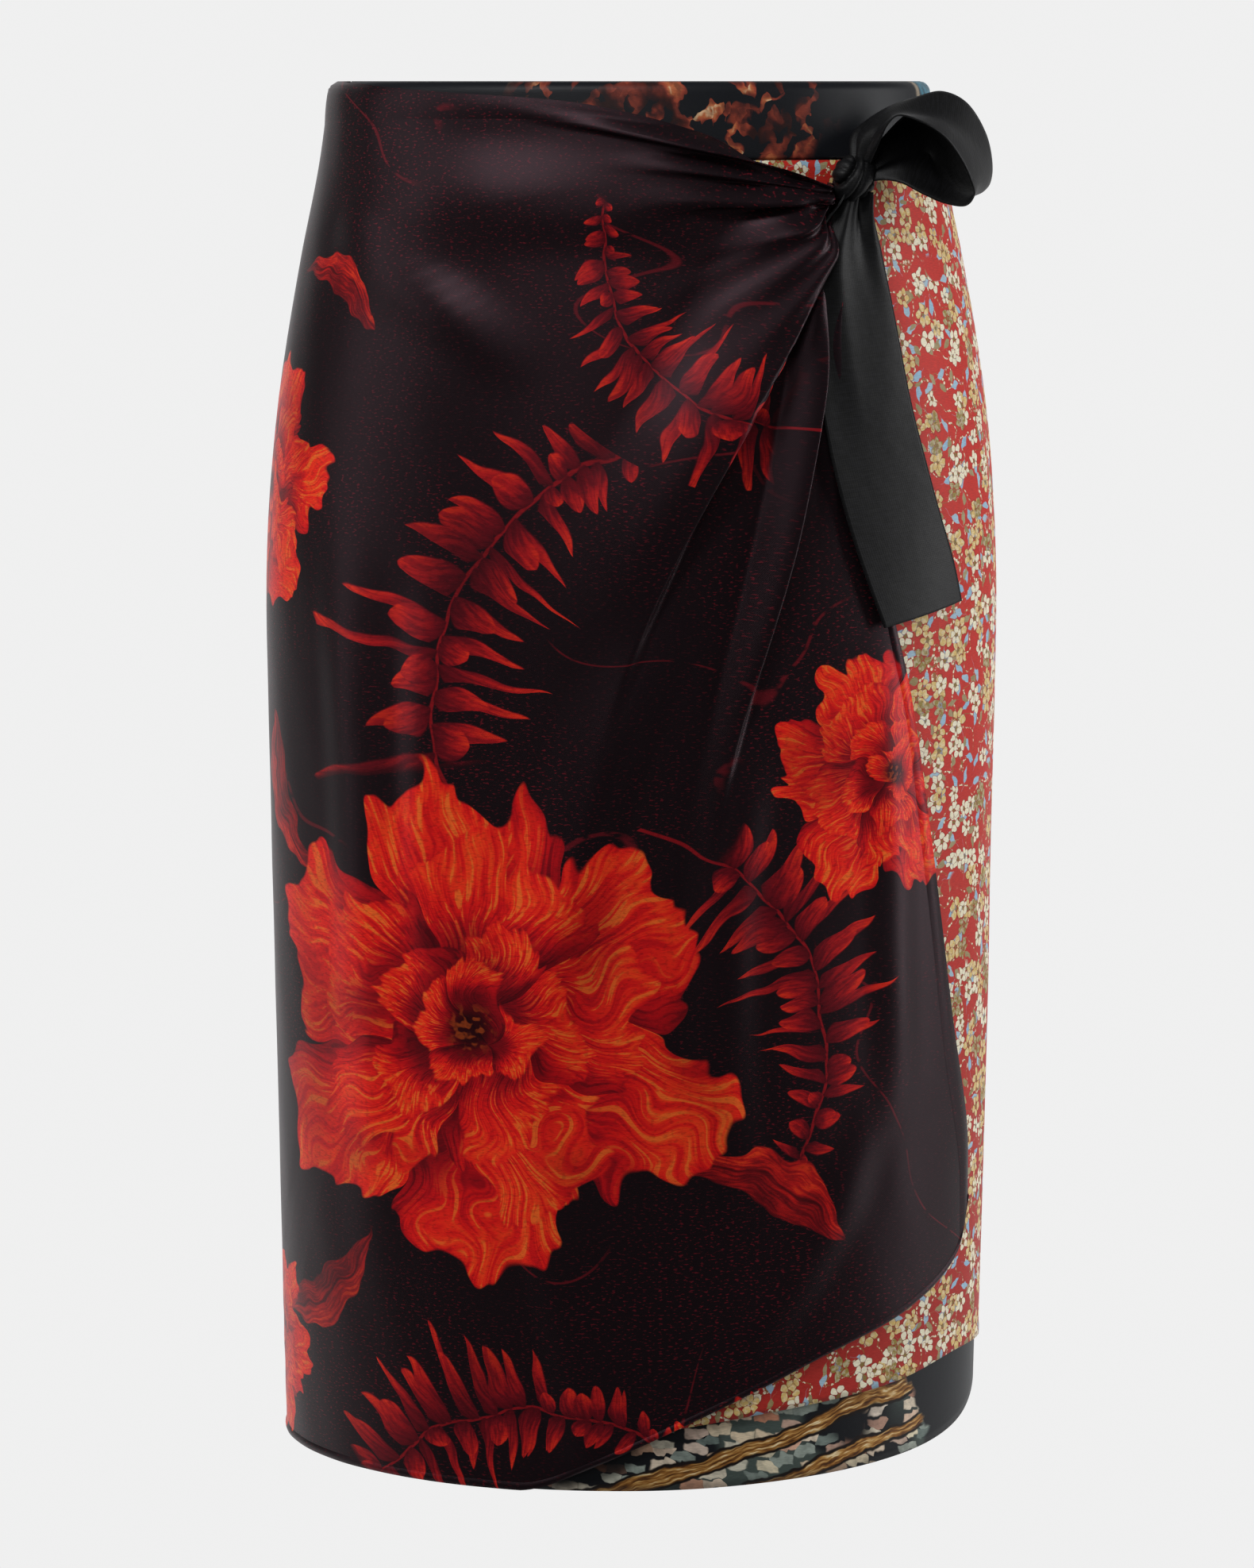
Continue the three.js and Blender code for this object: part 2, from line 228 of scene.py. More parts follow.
@dataclass(frozen=True)
class Fold:
    """A soft fold along a curved crest, from near the knot outwards.

    Its spreads are how far the cloth falls away on either side, its lean is how far the crest
    hangs over towards the right-hand side, and swell and fade are the shares of its length over
    which it rises and dies.
    """

    start: tuple[float, float]
    middle: tuple[float, float]
    end: tuple[float, float]
    left: float
    right: float
    height: float
    lean: float = 0.0
    swell: float = 0.3
    fade: float = 0.6
    CHORDS = 48

    def at(self, turn: Array, drop: Array) -> tuple[Array, Array, Array]:
        """What the fold does to places on the cloth.

        Args:
            turn: degrees round from centre front.
            drop: millimetres below the waist.

        Returns:
            The lift, and the sideways shifts of turn and drop.
        """
        scale = np.array([MM_PER_DEGREE, 1.0])
        start, middle, end = (np.array(p) * scale for p in (self.start, self.middle, self.end))
        pull = 2 * middle - (start + end) / 2
        t = np.linspace(0.0, 1.0, self.CHORDS + 1)[:, None]
        crest = (1 - t) ** 2 * start + 2 * t * (1 - t) * pull + t * t * end
        here = np.stack([turn * MM_PER_DEGREE, drop], axis=-1)
        nearest = np.full(turn.shape, np.inf)
        along = np.zeros(turn.shape)
        side = np.zeros(turn.shape)
        for i in range(self.CHORDS):
            step = crest[i + 1] - crest[i]
            offset = here - crest[i]
            share = np.clip(offset @ step / (step @ step), 0.0, 1.0)
            distance = np.linalg.norm(offset - share[..., None] * step, axis=-1)
            closer = distance < nearest
            nearest = np.where(closer, distance, nearest)
            along = np.where(closer, (i + share) / self.CHORDS, along)
            cross = offset[..., 0] * step[1] - offset[..., 1] * step[0]
            side = np.where(closer, cross, side)
        spread = np.where(side > 0, self.right, self.left)
        bump = 0.5 + 0.5 * np.cos(np.pi * np.minimum(nearest / spread, 1.0))
        strength = smoothstep(along, 0.0, self.swell) * (1 - smoothstep(along, self.fade, 1.0))
        way = (end - start) / np.linalg.norm(end - start)
        lean = self.lean * bump**2 * strength
        return self.height * bump * strength, lean * way[1] / MM_PER_DEGREE, -lean * way[0]


OUTER_FOLDS = (
    # the rolled top edge and the gathers under it
    Fold((35.5, 46.8), (14, 29.6), (-26, 12.5), 5, 5, 7.0, 3.6, 0.08, 0.5),
    Fold((35.5, 49.5), (17, 42), (-8, 37), 7, 6, 4.4, 2.6, 0.12, 0.4),
    Fold((35.5, 51), (21, 54), (-4, 57), 9, 5, 7.5, 4.6, 0.1, 0.45),
    Fold((35, 53), (24, 67), (4, 88), 8, 7, 4.8, 2.6, 0.16, 0.45),
    Fold((24, 52), (-12, 56), (-66, 50), 34, 30, 4.6, 0.0, 0.35, 0.7),
    # soft swags over the hip
    Fold((-64, 66), (-38, 99), (-12, 140), 22, 22, 5.6, 0.0, 0.4, 0.6),
    Fold((16, 112), (2, 190), (-14, 290), 26, 26, 3.4, 0.0, 0.4, 0.5),
    # the pleat that folds over to the right, and the tuck beyond it
    Fold((35, 58), (12.6, 168), (-8, 334), 40, 8, 14.0, 9.0, 0.12, 0.34),
    Fold((33.5, 72), (23.0, 205), (9, 385), 12, 6, 9.0, 6.0, 0.3, 0.5),
    Fold((36.5, 64), (33.5, 130), (31, 230), 9, 7, 4.2, 2.2, 0.3, 0.45),
    # long soft ridges down the front
    Fold((6, 250), (-10, 380), (-16, 560), 28, 22, 4.8, 1.0, 0.3, 0.5),
    Fold((20, 300), (14, 420), (18, 580), 22, 20, 3.8, 0.8, 0.3, 0.5),
    Fold((40, 250), (44, 400), (46, 560), 20, 20, 2.6, 0.0, 0.3, 0.6),
    Fold((-50, 180), (-46, 380), (-44, 620), 28, 30, 3.8, 0.0, 0.3, 0.6),
    Fold((-22, 470), (-12, 570), (-6, 676), 20, 22, 3.2, 0.0, 0.4, 0.9),
    Fold((44, 470), (30, 560), (8, 640), 18, 20, 2.8, 0.0, 0.4, 0.6),
    Fold((-30, 210), (-33, 330), (-30, 470), 18, 20, 2.6, 0.0, 0.4, 0.5),
)
BACK_FOLDS = (
    Fold((150, 150), (146, 380), (150, 640), 34, 34, 2.0, 0.0, 0.3, 0.8),
    Fold((176, 200), (182, 420), (178, 676), 30, 36, 2.2, 0.0, 0.3, 0.95),
    Fold((214, 170), (216, 400), (210, 660), 34, 30, 1.8, 0.0, 0.3, 0.8),
    Fold((128, 80), (160, 112), (196, 96), 20, 26, 1.6, 0.0, 0.5, 0.5),
    Fold((232, 84), (206, 110), (170, 122), 24, 20, 1.3, 0.0, 0.5, 0.5),
)
RED_FOLDS = (
    Fold((60, 60), (74, 170), (78, 330), 14, 16, 0.7, 0.0, 0.4, 0.5),
    Fold((84, 330), (82, 480), (86, 620), 14, 16, 0.7, 0.0, 0.4, 0.6),
)


def fold_cloth(folds: Sequence[Fold], turn: Array, drop: Array) -> tuple[Array, Array, Array]:
    """Adds up what folds do to places on the cloth.

    Args:
        folds: the folds.
        turn: degrees round from centre front.
        drop: millimetres below the waist.

    Returns:
        The shifted turns, the shifted drops and the lifts.
    """
    moves = [fold.at(turn, drop) for fold in folds]
    lift = sum((m[0] for m in moves), np.zeros_like(turn))
    new_turn = turn + sum((m[1] for m in moves), np.zeros_like(turn))
    new_drop = drop + sum((m[2] for m in moves), np.zeros_like(turn))
    return new_turn, new_drop, lift


def ripple(turn: Array, drop: Array, wave: float, seed: float) -> Array:
    """Faint unevenness of hanging cloth, from -1 to 1.

    Args:
        turn: degrees round from centre front.
        drop: millimetres below the waist.
        wave: its length in millimetres.
        seed: tells one cloth from another.

    Returns:
        One value for each place.
    """
    u, v = turn * MM_PER_DEGREE / wave * 2 * math.pi, drop / wave * 2 * math.pi
    slow = np.sin(u * 0.83 + 0.31 * v + seed) * np.sin(0.47 * v - 0.22 * u + 1.7 * seed)
    return 0.6 * slow + 0.4 * np.sin(1.31 * u - 0.57 * v + 2.3 * seed)


# --- Meshes


Place = Callable[[Array, Array], tuple[Array, Array]]


def bend_grid(name: str, columns: int, rows: int, place: Place) -> bpy.types.Object:
    """A grid of cloth bent to shape.

    Args:
        name: the piece's name.
        columns: cells across.
        rows: cells down.
        place: from shares across and down, gives points in metres and flat cloth coordinates.

    Returns:
        The new object, with its flat cloth coordinates as a UV map.
    """
    bm = bmesh.new()
    uv = bm.loops.layers.uv.new(CLOTH_UV)
    bmesh.ops.create_grid(bm, x_segments=columns, y_segments=rows, size=0.5)
    flat = np.array([v.co[:2] for v in bm.verts])
    across = np.round((flat[:, 0] + 0.5) * columns) / columns
    down = np.round((0.5 - flat[:, 1]) * rows) / rows
    points, cloth = place(across, down)
    for vert, point in zip(bm.verts, points):
        vert.co = point
    for face in bm.faces:
        face.smooth = True
        for loop in face.loops:
            loop[uv].uv = cloth[loop.vert.index]
    return finish_mesh(bm, name)


def finish_mesh(bm: bmesh.types.BMesh, name: str) -> bpy.types.Object:
    """Turns a bmesh into an object in the scene and frees it."""
    mesh = bpy.data.meshes.new(name)
    bm.to_mesh(mesh)
    bm.free()
    piece = bpy.data.objects.new(name, mesh)
    bpy.context.scene.collection.objects.link(piece)
    return piece


def thicken(piece: bpy.types.Object, thickness: float) -> None:
    """Gives a sheet its thickness, half on each side.

    Args:
        piece: the sheet.
        thickness: in millimetres.
    """
    wall = piece.modifiers.new("thickness", "SOLIDIFY")
    wall.thickness = thickness * MM
    wall.offset = 0.0


def dress(piece: bpy.types.Object, material: bpy.types.Material, slot: str, *nodes: str) -> None:
    """Gives a piece its material and body, and hides the solids it stands for."""
    piece.data.materials.clear()
    piece.data.materials.append(material)
    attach(piece, ROOT)
    if nodes:
        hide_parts(*nodes)
    log.info("%s: %d faces, in %s", piece.name, len(piece.data.polygons), material.name)


# --- Formulas in shader trees


Input = "Wire | float"


def srgb(code: str) -> tuple[float, float, float, float]:
    """The linear colour of a hex code."""
    parts = [int(code[i : i + 2], 16) / 255 for i in (0, 2, 4)]
    linear = [c / 12.92 if c <= 0.04045 else ((c + 0.055) / 1.055) ** 2.4 for c in parts]
    return (*linear, 1.0)


def set_inputs(node: bpy.types.Node, values: dict[str, object]) -> None:
    """Sets a node's inputs by name."""
    for key, value in values.items():
        node.inputs[key].default_value = value


class Wire:
    """A number on its way through a node tree. Arithmetic on it adds the nodes."""

    def __init__(self, tree: bpy.types.NodeTree, socket: bpy.types.NodeSocket) -> None:
        """Holds a socket and the tree it is in."""
        self.tree = tree
        self.socket = socket

    def node(self, kind: str, *inputs: object, **settings: object) -> bpy.types.Node:
        """Adds a node.

        Args:
            kind: the node's type.
            inputs: what goes into its first inputs: wires, numbers, or None to leave one.
            settings: the node's properties.

        Returns:
            The node.
        """
        node = self.tree.nodes.new(kind)
        for key, value in settings.items():
            setattr(node, key, value)
        for socket, value in zip(node.inputs, inputs):
            self.feed(socket, value)
        return node

    def feed(self, socket: bpy.types.NodeSocket, value: object) -> None:
        """Puts a wire, a number or a colour's hex code into an input."""
        if isinstance(value, Wire):
            self.tree.links.new(value.socket, socket)
        elif value is not None:
            socket.default_value = srgb(value) if isinstance(value, str) else value

    def out(self, node: bpy.types.Node, output: str | int = 0) -> "Wire":
        """One of a node's outputs as a wire."""
        return Wire(self.tree, node.outputs[output])

    def math(self, operation: str, *others: Input) -> "Wire":
        """The result of a Math node on this number and others."""
        return self.out(self.node("ShaderNodeMath", self, *others, operation=operation))

    def __add__(self, other: Input) -> "Wire":
        """Adds."""
        return self.math("ADD", other)

    def __sub__(self, other: Input) -> "Wire":
        """Subtracts."""
        return self.math("SUBTRACT", other)

    def __rsub__(self, other: float) -> "Wire":
        """Subtracts this from a number."""
        return self.math("MULTIPLY_ADD", -1.0, other)

    def __mul__(self, other: Input) -> "Wire":
        """Multiplies."""
        return self.math("MULTIPLY", other)

    def __truediv__(self, other: Input) -> "Wire":
        """Divides."""
        return self.math("DIVIDE", other)

    __radd__ = __add__
    __rmul__ = __mul__

    def size(self) -> "Wire":
        """How far this number is from 0."""
        return self.math("ABSOLUTE")

    def floor(self) -> "Wire":
        """The whole number below this one."""
        return self.math("FLOOR")

    def at_least(self, other: Input) -> "Wire":
        """The larger of this number and another."""
        return self.math("MAXIMUM", other)

    def above(self, other: Input) -> "Wire":
        """1 where this number is above another, else 0."""
        return self.math("GREATER_THAN", other)

    def length(self, other: "Wire") -> "Wire":
        """The length of a step this far across and the other up."""
        return (self * self + other * other).math("SQRT")

    def toward(self, other: "Wire", share: Input) -> "Wire":
        """The number a share of the way from this one to another."""
        return (other - self).math("MULTIPLY_ADD", share, self)

    def effect(self, group: bpy.types.NodeTree, *inputs: Input) -> list["Wire"]:
        """Places a shared effect.

        Args:
            group: the effect's node group.
            inputs: what goes into it, in order.

        Returns:
            What comes out of it, in order.
        """
        node = self.node("ShaderNodeGroup", node_tree=group)
        for socket, value in zip(node.inputs, inputs):
            self.feed(socket, value)
        return [Wire(self.tree, socket) for socket in node.outputs]

    def power(self, exponent: float) -> "Wire":
        """This number to a power."""
        return self.math("POWER", exponent)

    def ramp(self, low: Input, high: Input) -> "Wire":
        """A smooth rise from 0 at low to 1 at high, or a fall where low is the larger."""
        node = self.node("ShaderNodeMapRange", self, low, high, interpolation_type="SMOOTHSTEP")
        return self.out(node)

    def joined(self, y: Input, z: Input = 0.0) -> "Wire":
        """A vector of this number and two others."""
        return self.out(self.node("ShaderNodeCombineXYZ", self, y, z))

    def parts(self) -> tuple["Wire", "Wire", "Wire"]:
        """A vector's three numbers."""
        node = self.node("ShaderNodeSeparateXYZ", self)
        return self.out(node, 0), self.out(node, 1), self.out(node, 2)

    def turned(self, angle: "Wire") -> "Wire":
        """This vector turned round the z axis by an angle in radians."""
        node = self.node("ShaderNodeVectorRotate", self, rotation_type="Z_AXIS")
        self.feed(node.inputs["Angle"], angle)
        return self.out(node)

    def noise(self, scale: float, detail: float = 2.0, roughness: float = 0.5) -> "Wire":
        """Noise at this vector's x and y, from 0 to 1."""
        return self.out(self.noise_node(scale, detail, roughness), "Fac")

    def wander(self, scale: float, detail: float = 1.0) -> tuple["Wire", "Wire"]:
        """Two noises at this vector's x and y, each about 0, to push places about with."""
        x, y, _ = self.out(self.noise_node(scale, detail, 0.5), "Color").parts()
        return x - 0.5, y - 0.5

    def noise_node(self, scale: float, detail: float, roughness: float) -> bpy.types.Node:
        """Adds a flat noise texture."""
        node = self.node("ShaderNodeTexNoise", noise_dimensions="2D")
        self.feed(node.inputs["Vector"], self)
        set_inputs(node, {"Scale": scale, "Detail": detail, "Roughness": roughness})
        return node

    def cells(self, randomness: float) -> tuple["Wire", "Wire"]:
        """Scattered cells at this vector.

        Args:
            randomness: how unevenly the cells lie.

        Returns:
            The vector from the nearest cell's centre, and the cell's own random colour.
        """
        node = self.node("ShaderNodeTexVoronoi", voronoi_dimensions="2D", feature="F1")
        self.feed(node.inputs["Vector"], self)
        set_inputs(node, {"Scale": 1.0, "Randomness": randomness})
        centre = self.out(node, "Position")
        local = self.out(self.node("ShaderNodeVectorMath", self, centre, operation="SUBTRACT"))
        return local, self.out(node, "Color")

    def blend(self, low: object, high: object) -> "Wire":
        """A colour or vector this share of the way from low to high."""
        node = self.node("ShaderNodeMix", data_type="RGBA")
        self.feed(node.inputs["Factor"], self)
        self.feed(node.inputs[6], low)
        self.feed(node.inputs[7], high)
        return self.out(node, 2)

    def colours(self, *stops: tuple[float, str]) -> "Wire":
        """A colour for this number, from stops of (position, hex code)."""
        node = self.node("ShaderNodeValToRGB", self)
        elements = node.color_ramp.elements
        while len(elements) < len(stops):
            elements.new(1.0)
        for element, (position, code) in zip(elements, stops):
            element.position = position
            element.color = srgb(code)
        return self.out(node)


class Socket(Enum):
    """What a shared effect's inputs and outputs carry."""

    VECTOR = "NodeSocketVector"
    NUMBER = "NodeSocketFloat"
    COLOUR = "NodeSocketColor"


def numbers(*names: str) -> dict[str, Socket]:
    """Sockets that carry numbers, by name."""
    return dict.fromkeys(names, Socket.NUMBER)


def effect_group(
    name: str,
    inputs: dict[str, Socket],
    outputs: dict[str, Socket],
    make: Callable[..., Sequence[Wire]],
) -> bpy.types.NodeTree:
    """A shared effect as a node group.

    Args:
        name: the group's name.
        inputs: what goes in, by name.
        outputs: what comes out, by name.
        make: turns the inputs' wires into the outputs'.

    Returns:
        The group.
    """
    tree = bpy.data.node_groups.new(name, "ShaderNodeTree")
    for way, sockets in (("INPUT", inputs), ("OUTPUT", outputs)):
        for label, kind in sockets.items():
            tree.interface.new_socket(name=label, in_out=way, socket_type=kind.value)
    entry = tree.nodes.new("NodeGroupInput")
    leave = tree.nodes.new("NodeGroupOutput")
    made = make(*(Wire(tree, entry.outputs[label]) for label in inputs))
    for socket, wire in zip(leave.inputs, made):
        wire.feed(socket, wire)
    return tree


def threads(cloth: Wire, thread: Wire, slant: Wire) -> tuple[Wire, Wire]:
    """Fine slanted threads of uneven yarn.

    Args:
        cloth: flat cloth coordinates in metres.
        thread: the threads' size.
        slant: how steeply they run.

    Returns:
        Their height and their tone.
    """
    u, v, _ = cloth.parts()
    lines = ((u * slant + v) / thread).math("SINE")
    cross = ((u - v * slant) / thread).math("SINE")
    yarn = (u * 0.12).joined(v).noise(2600.0, 1.0)
    return lines * 0.35 + cross * 0.15 + yarn * 0.5, yarn


# --- Finishes


@dataclass(frozen=True)
class Cloth(ABC):
    """A finish for cloth: how it shines, how its threads lie, and what is printed on it."""

    name: str
    roughness: float = 0.5
    sheen: float = 0.3
    sheen_roughness: float = 0.4
    sheen_tint: str = "ffffff"
    gloss_tint: str = "ffffff"
    specular: float = 0.4
    thread: float = 0.0001
    slant: float = 1.0
    weave_depth: float = 0.00003

    def build(self, weave: bpy.types.NodeTree) -> bpy.types.Material:
        """Makes the material.

        Args:
            weave: the shared weave group.

        Returns:
            The material.
        """
        material = bpy.data.materials.new(self.name)
        material.use_nodes = True
        tree = material.node_tree
        shader = tree.nodes["Principled BSDF"]
        set_inputs(
            shader,
            {
                "Roughness": self.roughness,
                "Sheen Weight": self.sheen,
                "Sheen Roughness": self.sheen_roughness,
                "Sheen Tint": srgb(self.sheen_tint),
                "Specular IOR Level": self.specular,
                "Specular Tint": srgb(self.gloss_tint),
            },
        )
        uv_node = tree.nodes.new("ShaderNodeUVMap")
        uv_node.uv_map = CLOTH_UV
        cloth = Wire(tree, uv_node.outputs["UV"])
        woven, yarn = cloth.effect(weave, cloth, self.thread, self.slant)
        colour, relief = self.paint(cloth)
        tone = yarn * 0.5 + 0.75
        toned = cloth.node("ShaderNodeVectorMath", colour, operation="SCALE")
        cloth.feed(toned.inputs["Scale"], tone)
        cloth.feed(shader.inputs["Base Color"], cloth.out(toned))
        bump = cloth.node("ShaderNodeBump")
        set_inputs(bump, {"Strength": 1.0, "Distance": 1.0})
        cloth.feed(bump.inputs["Height"], woven * self.weave_depth + relief)
        cloth.feed(shader.inputs["Normal"], cloth.out(bump))
        return material

    @abstractmethod
    def paint(self, cloth: Wire) -> tuple[Wire, Wire]:
        """Paints the print.

        Args:
            cloth: flat cloth coordinates in metres.

        Returns:
            The colour, and a relief in metres.
        """


@dataclass(frozen=True)
class TieSilk(Cloth):
    """Plain black silk."""

    colour: str = "0b0b0c"
    light: str = "141416"

    def paint(self, cloth: Wire) -> tuple[Wire, Wire]:
        """Black, with slubs along the threads."""
        u, v, _ = cloth.parts()
        slub = (u * 0.15).joined(v).noise(900.0, 3.0).ramp(0.35, 0.75)
        crumple = cloth.noise(90.0, 3.0)
        return slub.blend(self.colour, self.light), crumple * 0.0002


@dataclass(frozen=True)
class Spot:
    """Where a printed motif lies on the flat cloth: its centre, size and turn."""

    x: float
    y: float
    size: float
    turn: float = 0.0


class FloralMotifs:
    """The painted motifs and the ground of the dark floral silk, as shared effects."""

    GROUND = "130d10"
    FLAME = "f4702a"
    # a bloom's rings: petals, reach, turn
    RINGS = ((6, 1.0, 0.0), (5, 0.74, 0.9), (5, 0.47, 2.1), (4, 0.24, 3.3))
    # a frond's rows of leaflets: side, pitch, shift, length
    ROWS = (
        (1.0, 0.12, 0.0, 0.36), (-1.0, 0.12, 0.5, 0.36),
        (1.0, 0.17, 0.4, 0.25), (-1.0, 0.17, 0.9, 0.25),
    )
    STEM_RADIUS = 1.15  # of a frond's curve, in motif sizes
    RUFFLE = 0.34  # how far the petals' places are pushed about

    def __init__(self) -> None:
        """Builds the effects."""
        place = {"Place": Socket.VECTOR}
        motif = place | numbers("Seed")
        painted = {"Colour": Socket.COLOUR} | numbers("Mask")
        ring = place | numbers("Seed", "Sector", "Reach", "Turn")
        self.petals = effect_group(
            "petal_ring", ring, numbers("Mask", "Shade", "Streaks"), self.petal_ring
        )
        row = numbers("Along", "Across", "Seed", "Side", "Pitch", "Shift", "Length")
        self.leaflets = effect_group("leaflet_row", row, numbers("Mask", "Tone"), self.leaflet_row)
        self.bloom = effect_group("painted_bloom", motif, painted, self.paint_bloom)
        self.leaf = effect_group("painted_leaf", motif, painted, self.paint_leaf)
        self.spray = effect_group("painted_spray", motif, painted, self.paint_spray)
        self.ground = effect_group(
            "flecked_ground", {"Cloth": Socket.VECTOR},
            {"Colour": Socket.COLOUR} | numbers("Flecks", "Wear"), self.paint_ground,
        )

    def petal_ring(
        self, local: Wire, seed: Wire, sector: Wire, reach: Wire, turn: Wire
    ) -> Sequence[Wire]:
        """One ring of ruffled petals.

        Args:
            local: coordinates in the bloom.
            seed: tells blooms apart.
            sector: each petal's angle in radians.
            reach: how far the ring reaches, as a share of the bloom.
            turn: its turn in radians.

        Returns:
            The ring's mask, its shade from 0 in the folds to 1 on the rims, and its streaks.
        """
        x, y, _ = local.parts()
        push_x, push_y = (x + (seed + turn) * 5.0).joined(y).wander(2.6)
        x = x + push_x * self.RUFFLE
        y = y + push_y * self.RUFFLE
        radius = x.length(y)
        angle = y.math("ARCTAN2", x) + turn + seed
        petal = (angle / sector).floor()
        swing = angle - (petal + 0.5) * sector
        round_top = (swing / sector * math.pi).math("COSINE").at_least(0.0).power(0.45)
        ruffle = (angle * 1.7).joined(radius * 0.4 + turn).noise(3.4, 1.0)
        rim = (round_top * 0.34 + 0.66 + (ruffle - 0.5) * 0.34) * reach
        mask = radius.ramp(rim + 0.006, rim - 0.012)
        share = radius / rim
        overlap = (swing + sector * 0.5).ramp(0.0, 0.42)
        cup, lip = share.ramp(0.25, 0.95), share.ramp(1.02, 0.9)
        shade = (cup * 0.75 + 0.25) * (overlap * 0.7 + 0.3) * (lip * 0.3 + 0.7)
        brushed = (swing * 7.0 + push_x * 1.6).joined(share + (petal + seed) * 3.0)
        streaks = brushed.noise(3.6, 2.0, 0.6)
        return mask, shade, streaks

    def paint_bloom(self, local: Wire, seed: Wire) -> Sequence[Wire]:
        """A bloom's colour and mask: rings of petals, brushed with lighter and darker strokes."""
        x, y, _ = local.parts()
        radius = x.length(y)
        colour: Wire | None = None
        mask: Wire | None = None
        tones = (
            (0.0, "22040a"), (0.14, "7a0a14"), (0.3, "bc1018"), (0.5, "e01a18"), (0.75, "f02a1a"),
            (1.0, "f6441c"),
        )
        for count, reach, turn in self.RINGS:
            sector = 2 * math.pi / count
            ring, shade, streaks = local.effect(self.petals, local, seed, sector, reach, turn)
            under = radius.ramp(reach * 0.5, reach * 0.9)
            value = shade * (under * 0.45 + 0.55) * (streaks.ramp(0.3, 0.56) * 0.5 + 0.5)
            painted = value.colours(*tones)
            flame = streaks.ramp(0.57, 0.65) * shade.ramp(0.35, 0.9) * 0.8
            painted = flame.blend(painted, self.FLAME)
            if colour is None:
                colour, mask = painted, ring
            else:
                colour = ring.blend(colour, painted)
                mask = mask.at_least(ring)
        heart = radius.ramp(0.13, 0.04)
        speck = local.noise(26.0, 1.0).ramp(0.5, 0.62)
        return (heart * 0.9).blend(colour, speck.blend("140407", "8a3a14")), mask

    def paint_leaf(self, local: Wire, seed: Wire) -> Sequence[Wire]:
        """A single leaf's colour and mask."""
        x, y, _ = local.parts()
        warp = ((x + seed * 5.0).joined(y).noise(2.2, 1.0) - 0.5) * 0.3
        bend = y + x * x * 0.35 - 0.12 + warp
        width = (1.0 - x * x).at_least(0.0) * (x * 0.12 + 0.26)
        mask = (bend.size() - width).ramp(0.012, -0.012) * x.size().ramp(1.0, 0.98)
        rib = bend.size().ramp(0.0, 0.03)
        vein = (x * 9.0 + bend.size() * -11.0).math("SINE").ramp(-1.0, 1.0)
        streak = (x * 2.0 + seed * 5.0).joined(bend * 16.0).noise(2.0, 2.0).ramp(0.35, 0.7)
        side = bend.ramp(-0.1, 0.12)
        value = (rib * 0.5 + 0.3) * (vein * 0.3 + 0.7) * (streak * 0.5 + 0.5) * (side * 0.5 + 0.6)
        tones = ((0.0, "1a0608"), (0.25, "6e0e14"), (0.55, "b81a18"), (0.9, "de3c1c"))
        return value.colours(*tones), mask

    def leaflet_row(
        self, along: Wire, across: Wire, seed: Wire,
        side: Wire, pitch: Wire, shift: Wire, length: Wire,
    ) -> Sequence[Wire]:
        """One row of a frond's leaflets.

        Args:
            along: the angle along the frond's stem.
            across: the distance out from the stem.
            seed: tells fronds apart.
            side: 1 outside the stem, -1 inside it.
            pitch: the angle from one leaflet to the next.
            shift: moves the row along, in leaflets.
            length: the leaflets' length.

        Returns:
            The row's mask and its tone.
        """
        taper = along.ramp(1.05, -0.35) * 0.8 + 0.2
        shifted = along / pitch + shift
        index = shifted.floor()
        jitter = (index * 0.73 + side).joined(seed + pitch * 90.0).noise(3.0, 0.0) - 0.5
        run = (shifted - index - 0.5 + jitter * 0.3) * pitch * self.STEM_RADIUS
        out = across * side
        lean = out * 0.86 - run * 0.5
        wide = run * 0.86 + out * 0.5 - lean * lean * 0.9
        reach = lean / (taper * (jitter * 0.5 + length))
        body = (reach * (1.05 - reach)).at_least(0.0).power(0.75) * 2.6
        half = body * 0.054 * (taper + 0.25)
        mask = (wide.size() - half).ramp(0.007, -0.005) * reach.ramp(1.12, 1.0)
        mask = mask * out.ramp(-0.004, 0.006) * along.ramp(-0.86, -0.8) * along.ramp(0.9, 0.84)
        streak = (wide * 60.0).joined(reach * 2.0 + index * 3.0).noise(1.0, 2.0).ramp(0.3, 0.7)
        lit = wide.ramp(half * -1.4, half)
        return mask, (reach * 0.62 + 0.12) * (streak * 0.45 + 0.6) * (lit * 0.5 + 0.55)

    def paint_spray(self, local: Wire, seed: Wire) -> Sequence[Wire]:
        """A curved frond of brushed overlapping leaflets, as colour and mask."""
        x, y, _ = local.parts()
        push_x, push_y = (x + seed * 5.0).joined(y).wander(3.2)
        x = x + push_x * 0.1
        from_centre = y + push_y * 0.1 + self.STEM_RADIUS
        along = x.math("ARCTAN2", from_centre)
        across = x.length(from_centre) - self.STEM_RADIUS
        mask = across.size().ramp(0.014, 0.006) * along.ramp(-1.3, -1.2) * along.ramp(0.9, 0.8)
        shade = mask * 0.3
        for row in self.ROWS:
            leaflet, tone = local.effect(self.leaflets, along, across, seed, *row)
            shade = shade.toward(tone, leaflet)
            mask = mask.at_least(leaflet)
        tones = (
            (0.0, "2c070d"), (0.22, "6a0e18"), (0.45, "b01a1c"), (0.75, "e0321c"), (1.0, "f86a34"),
        )
        return shade.colours(*tones), mask

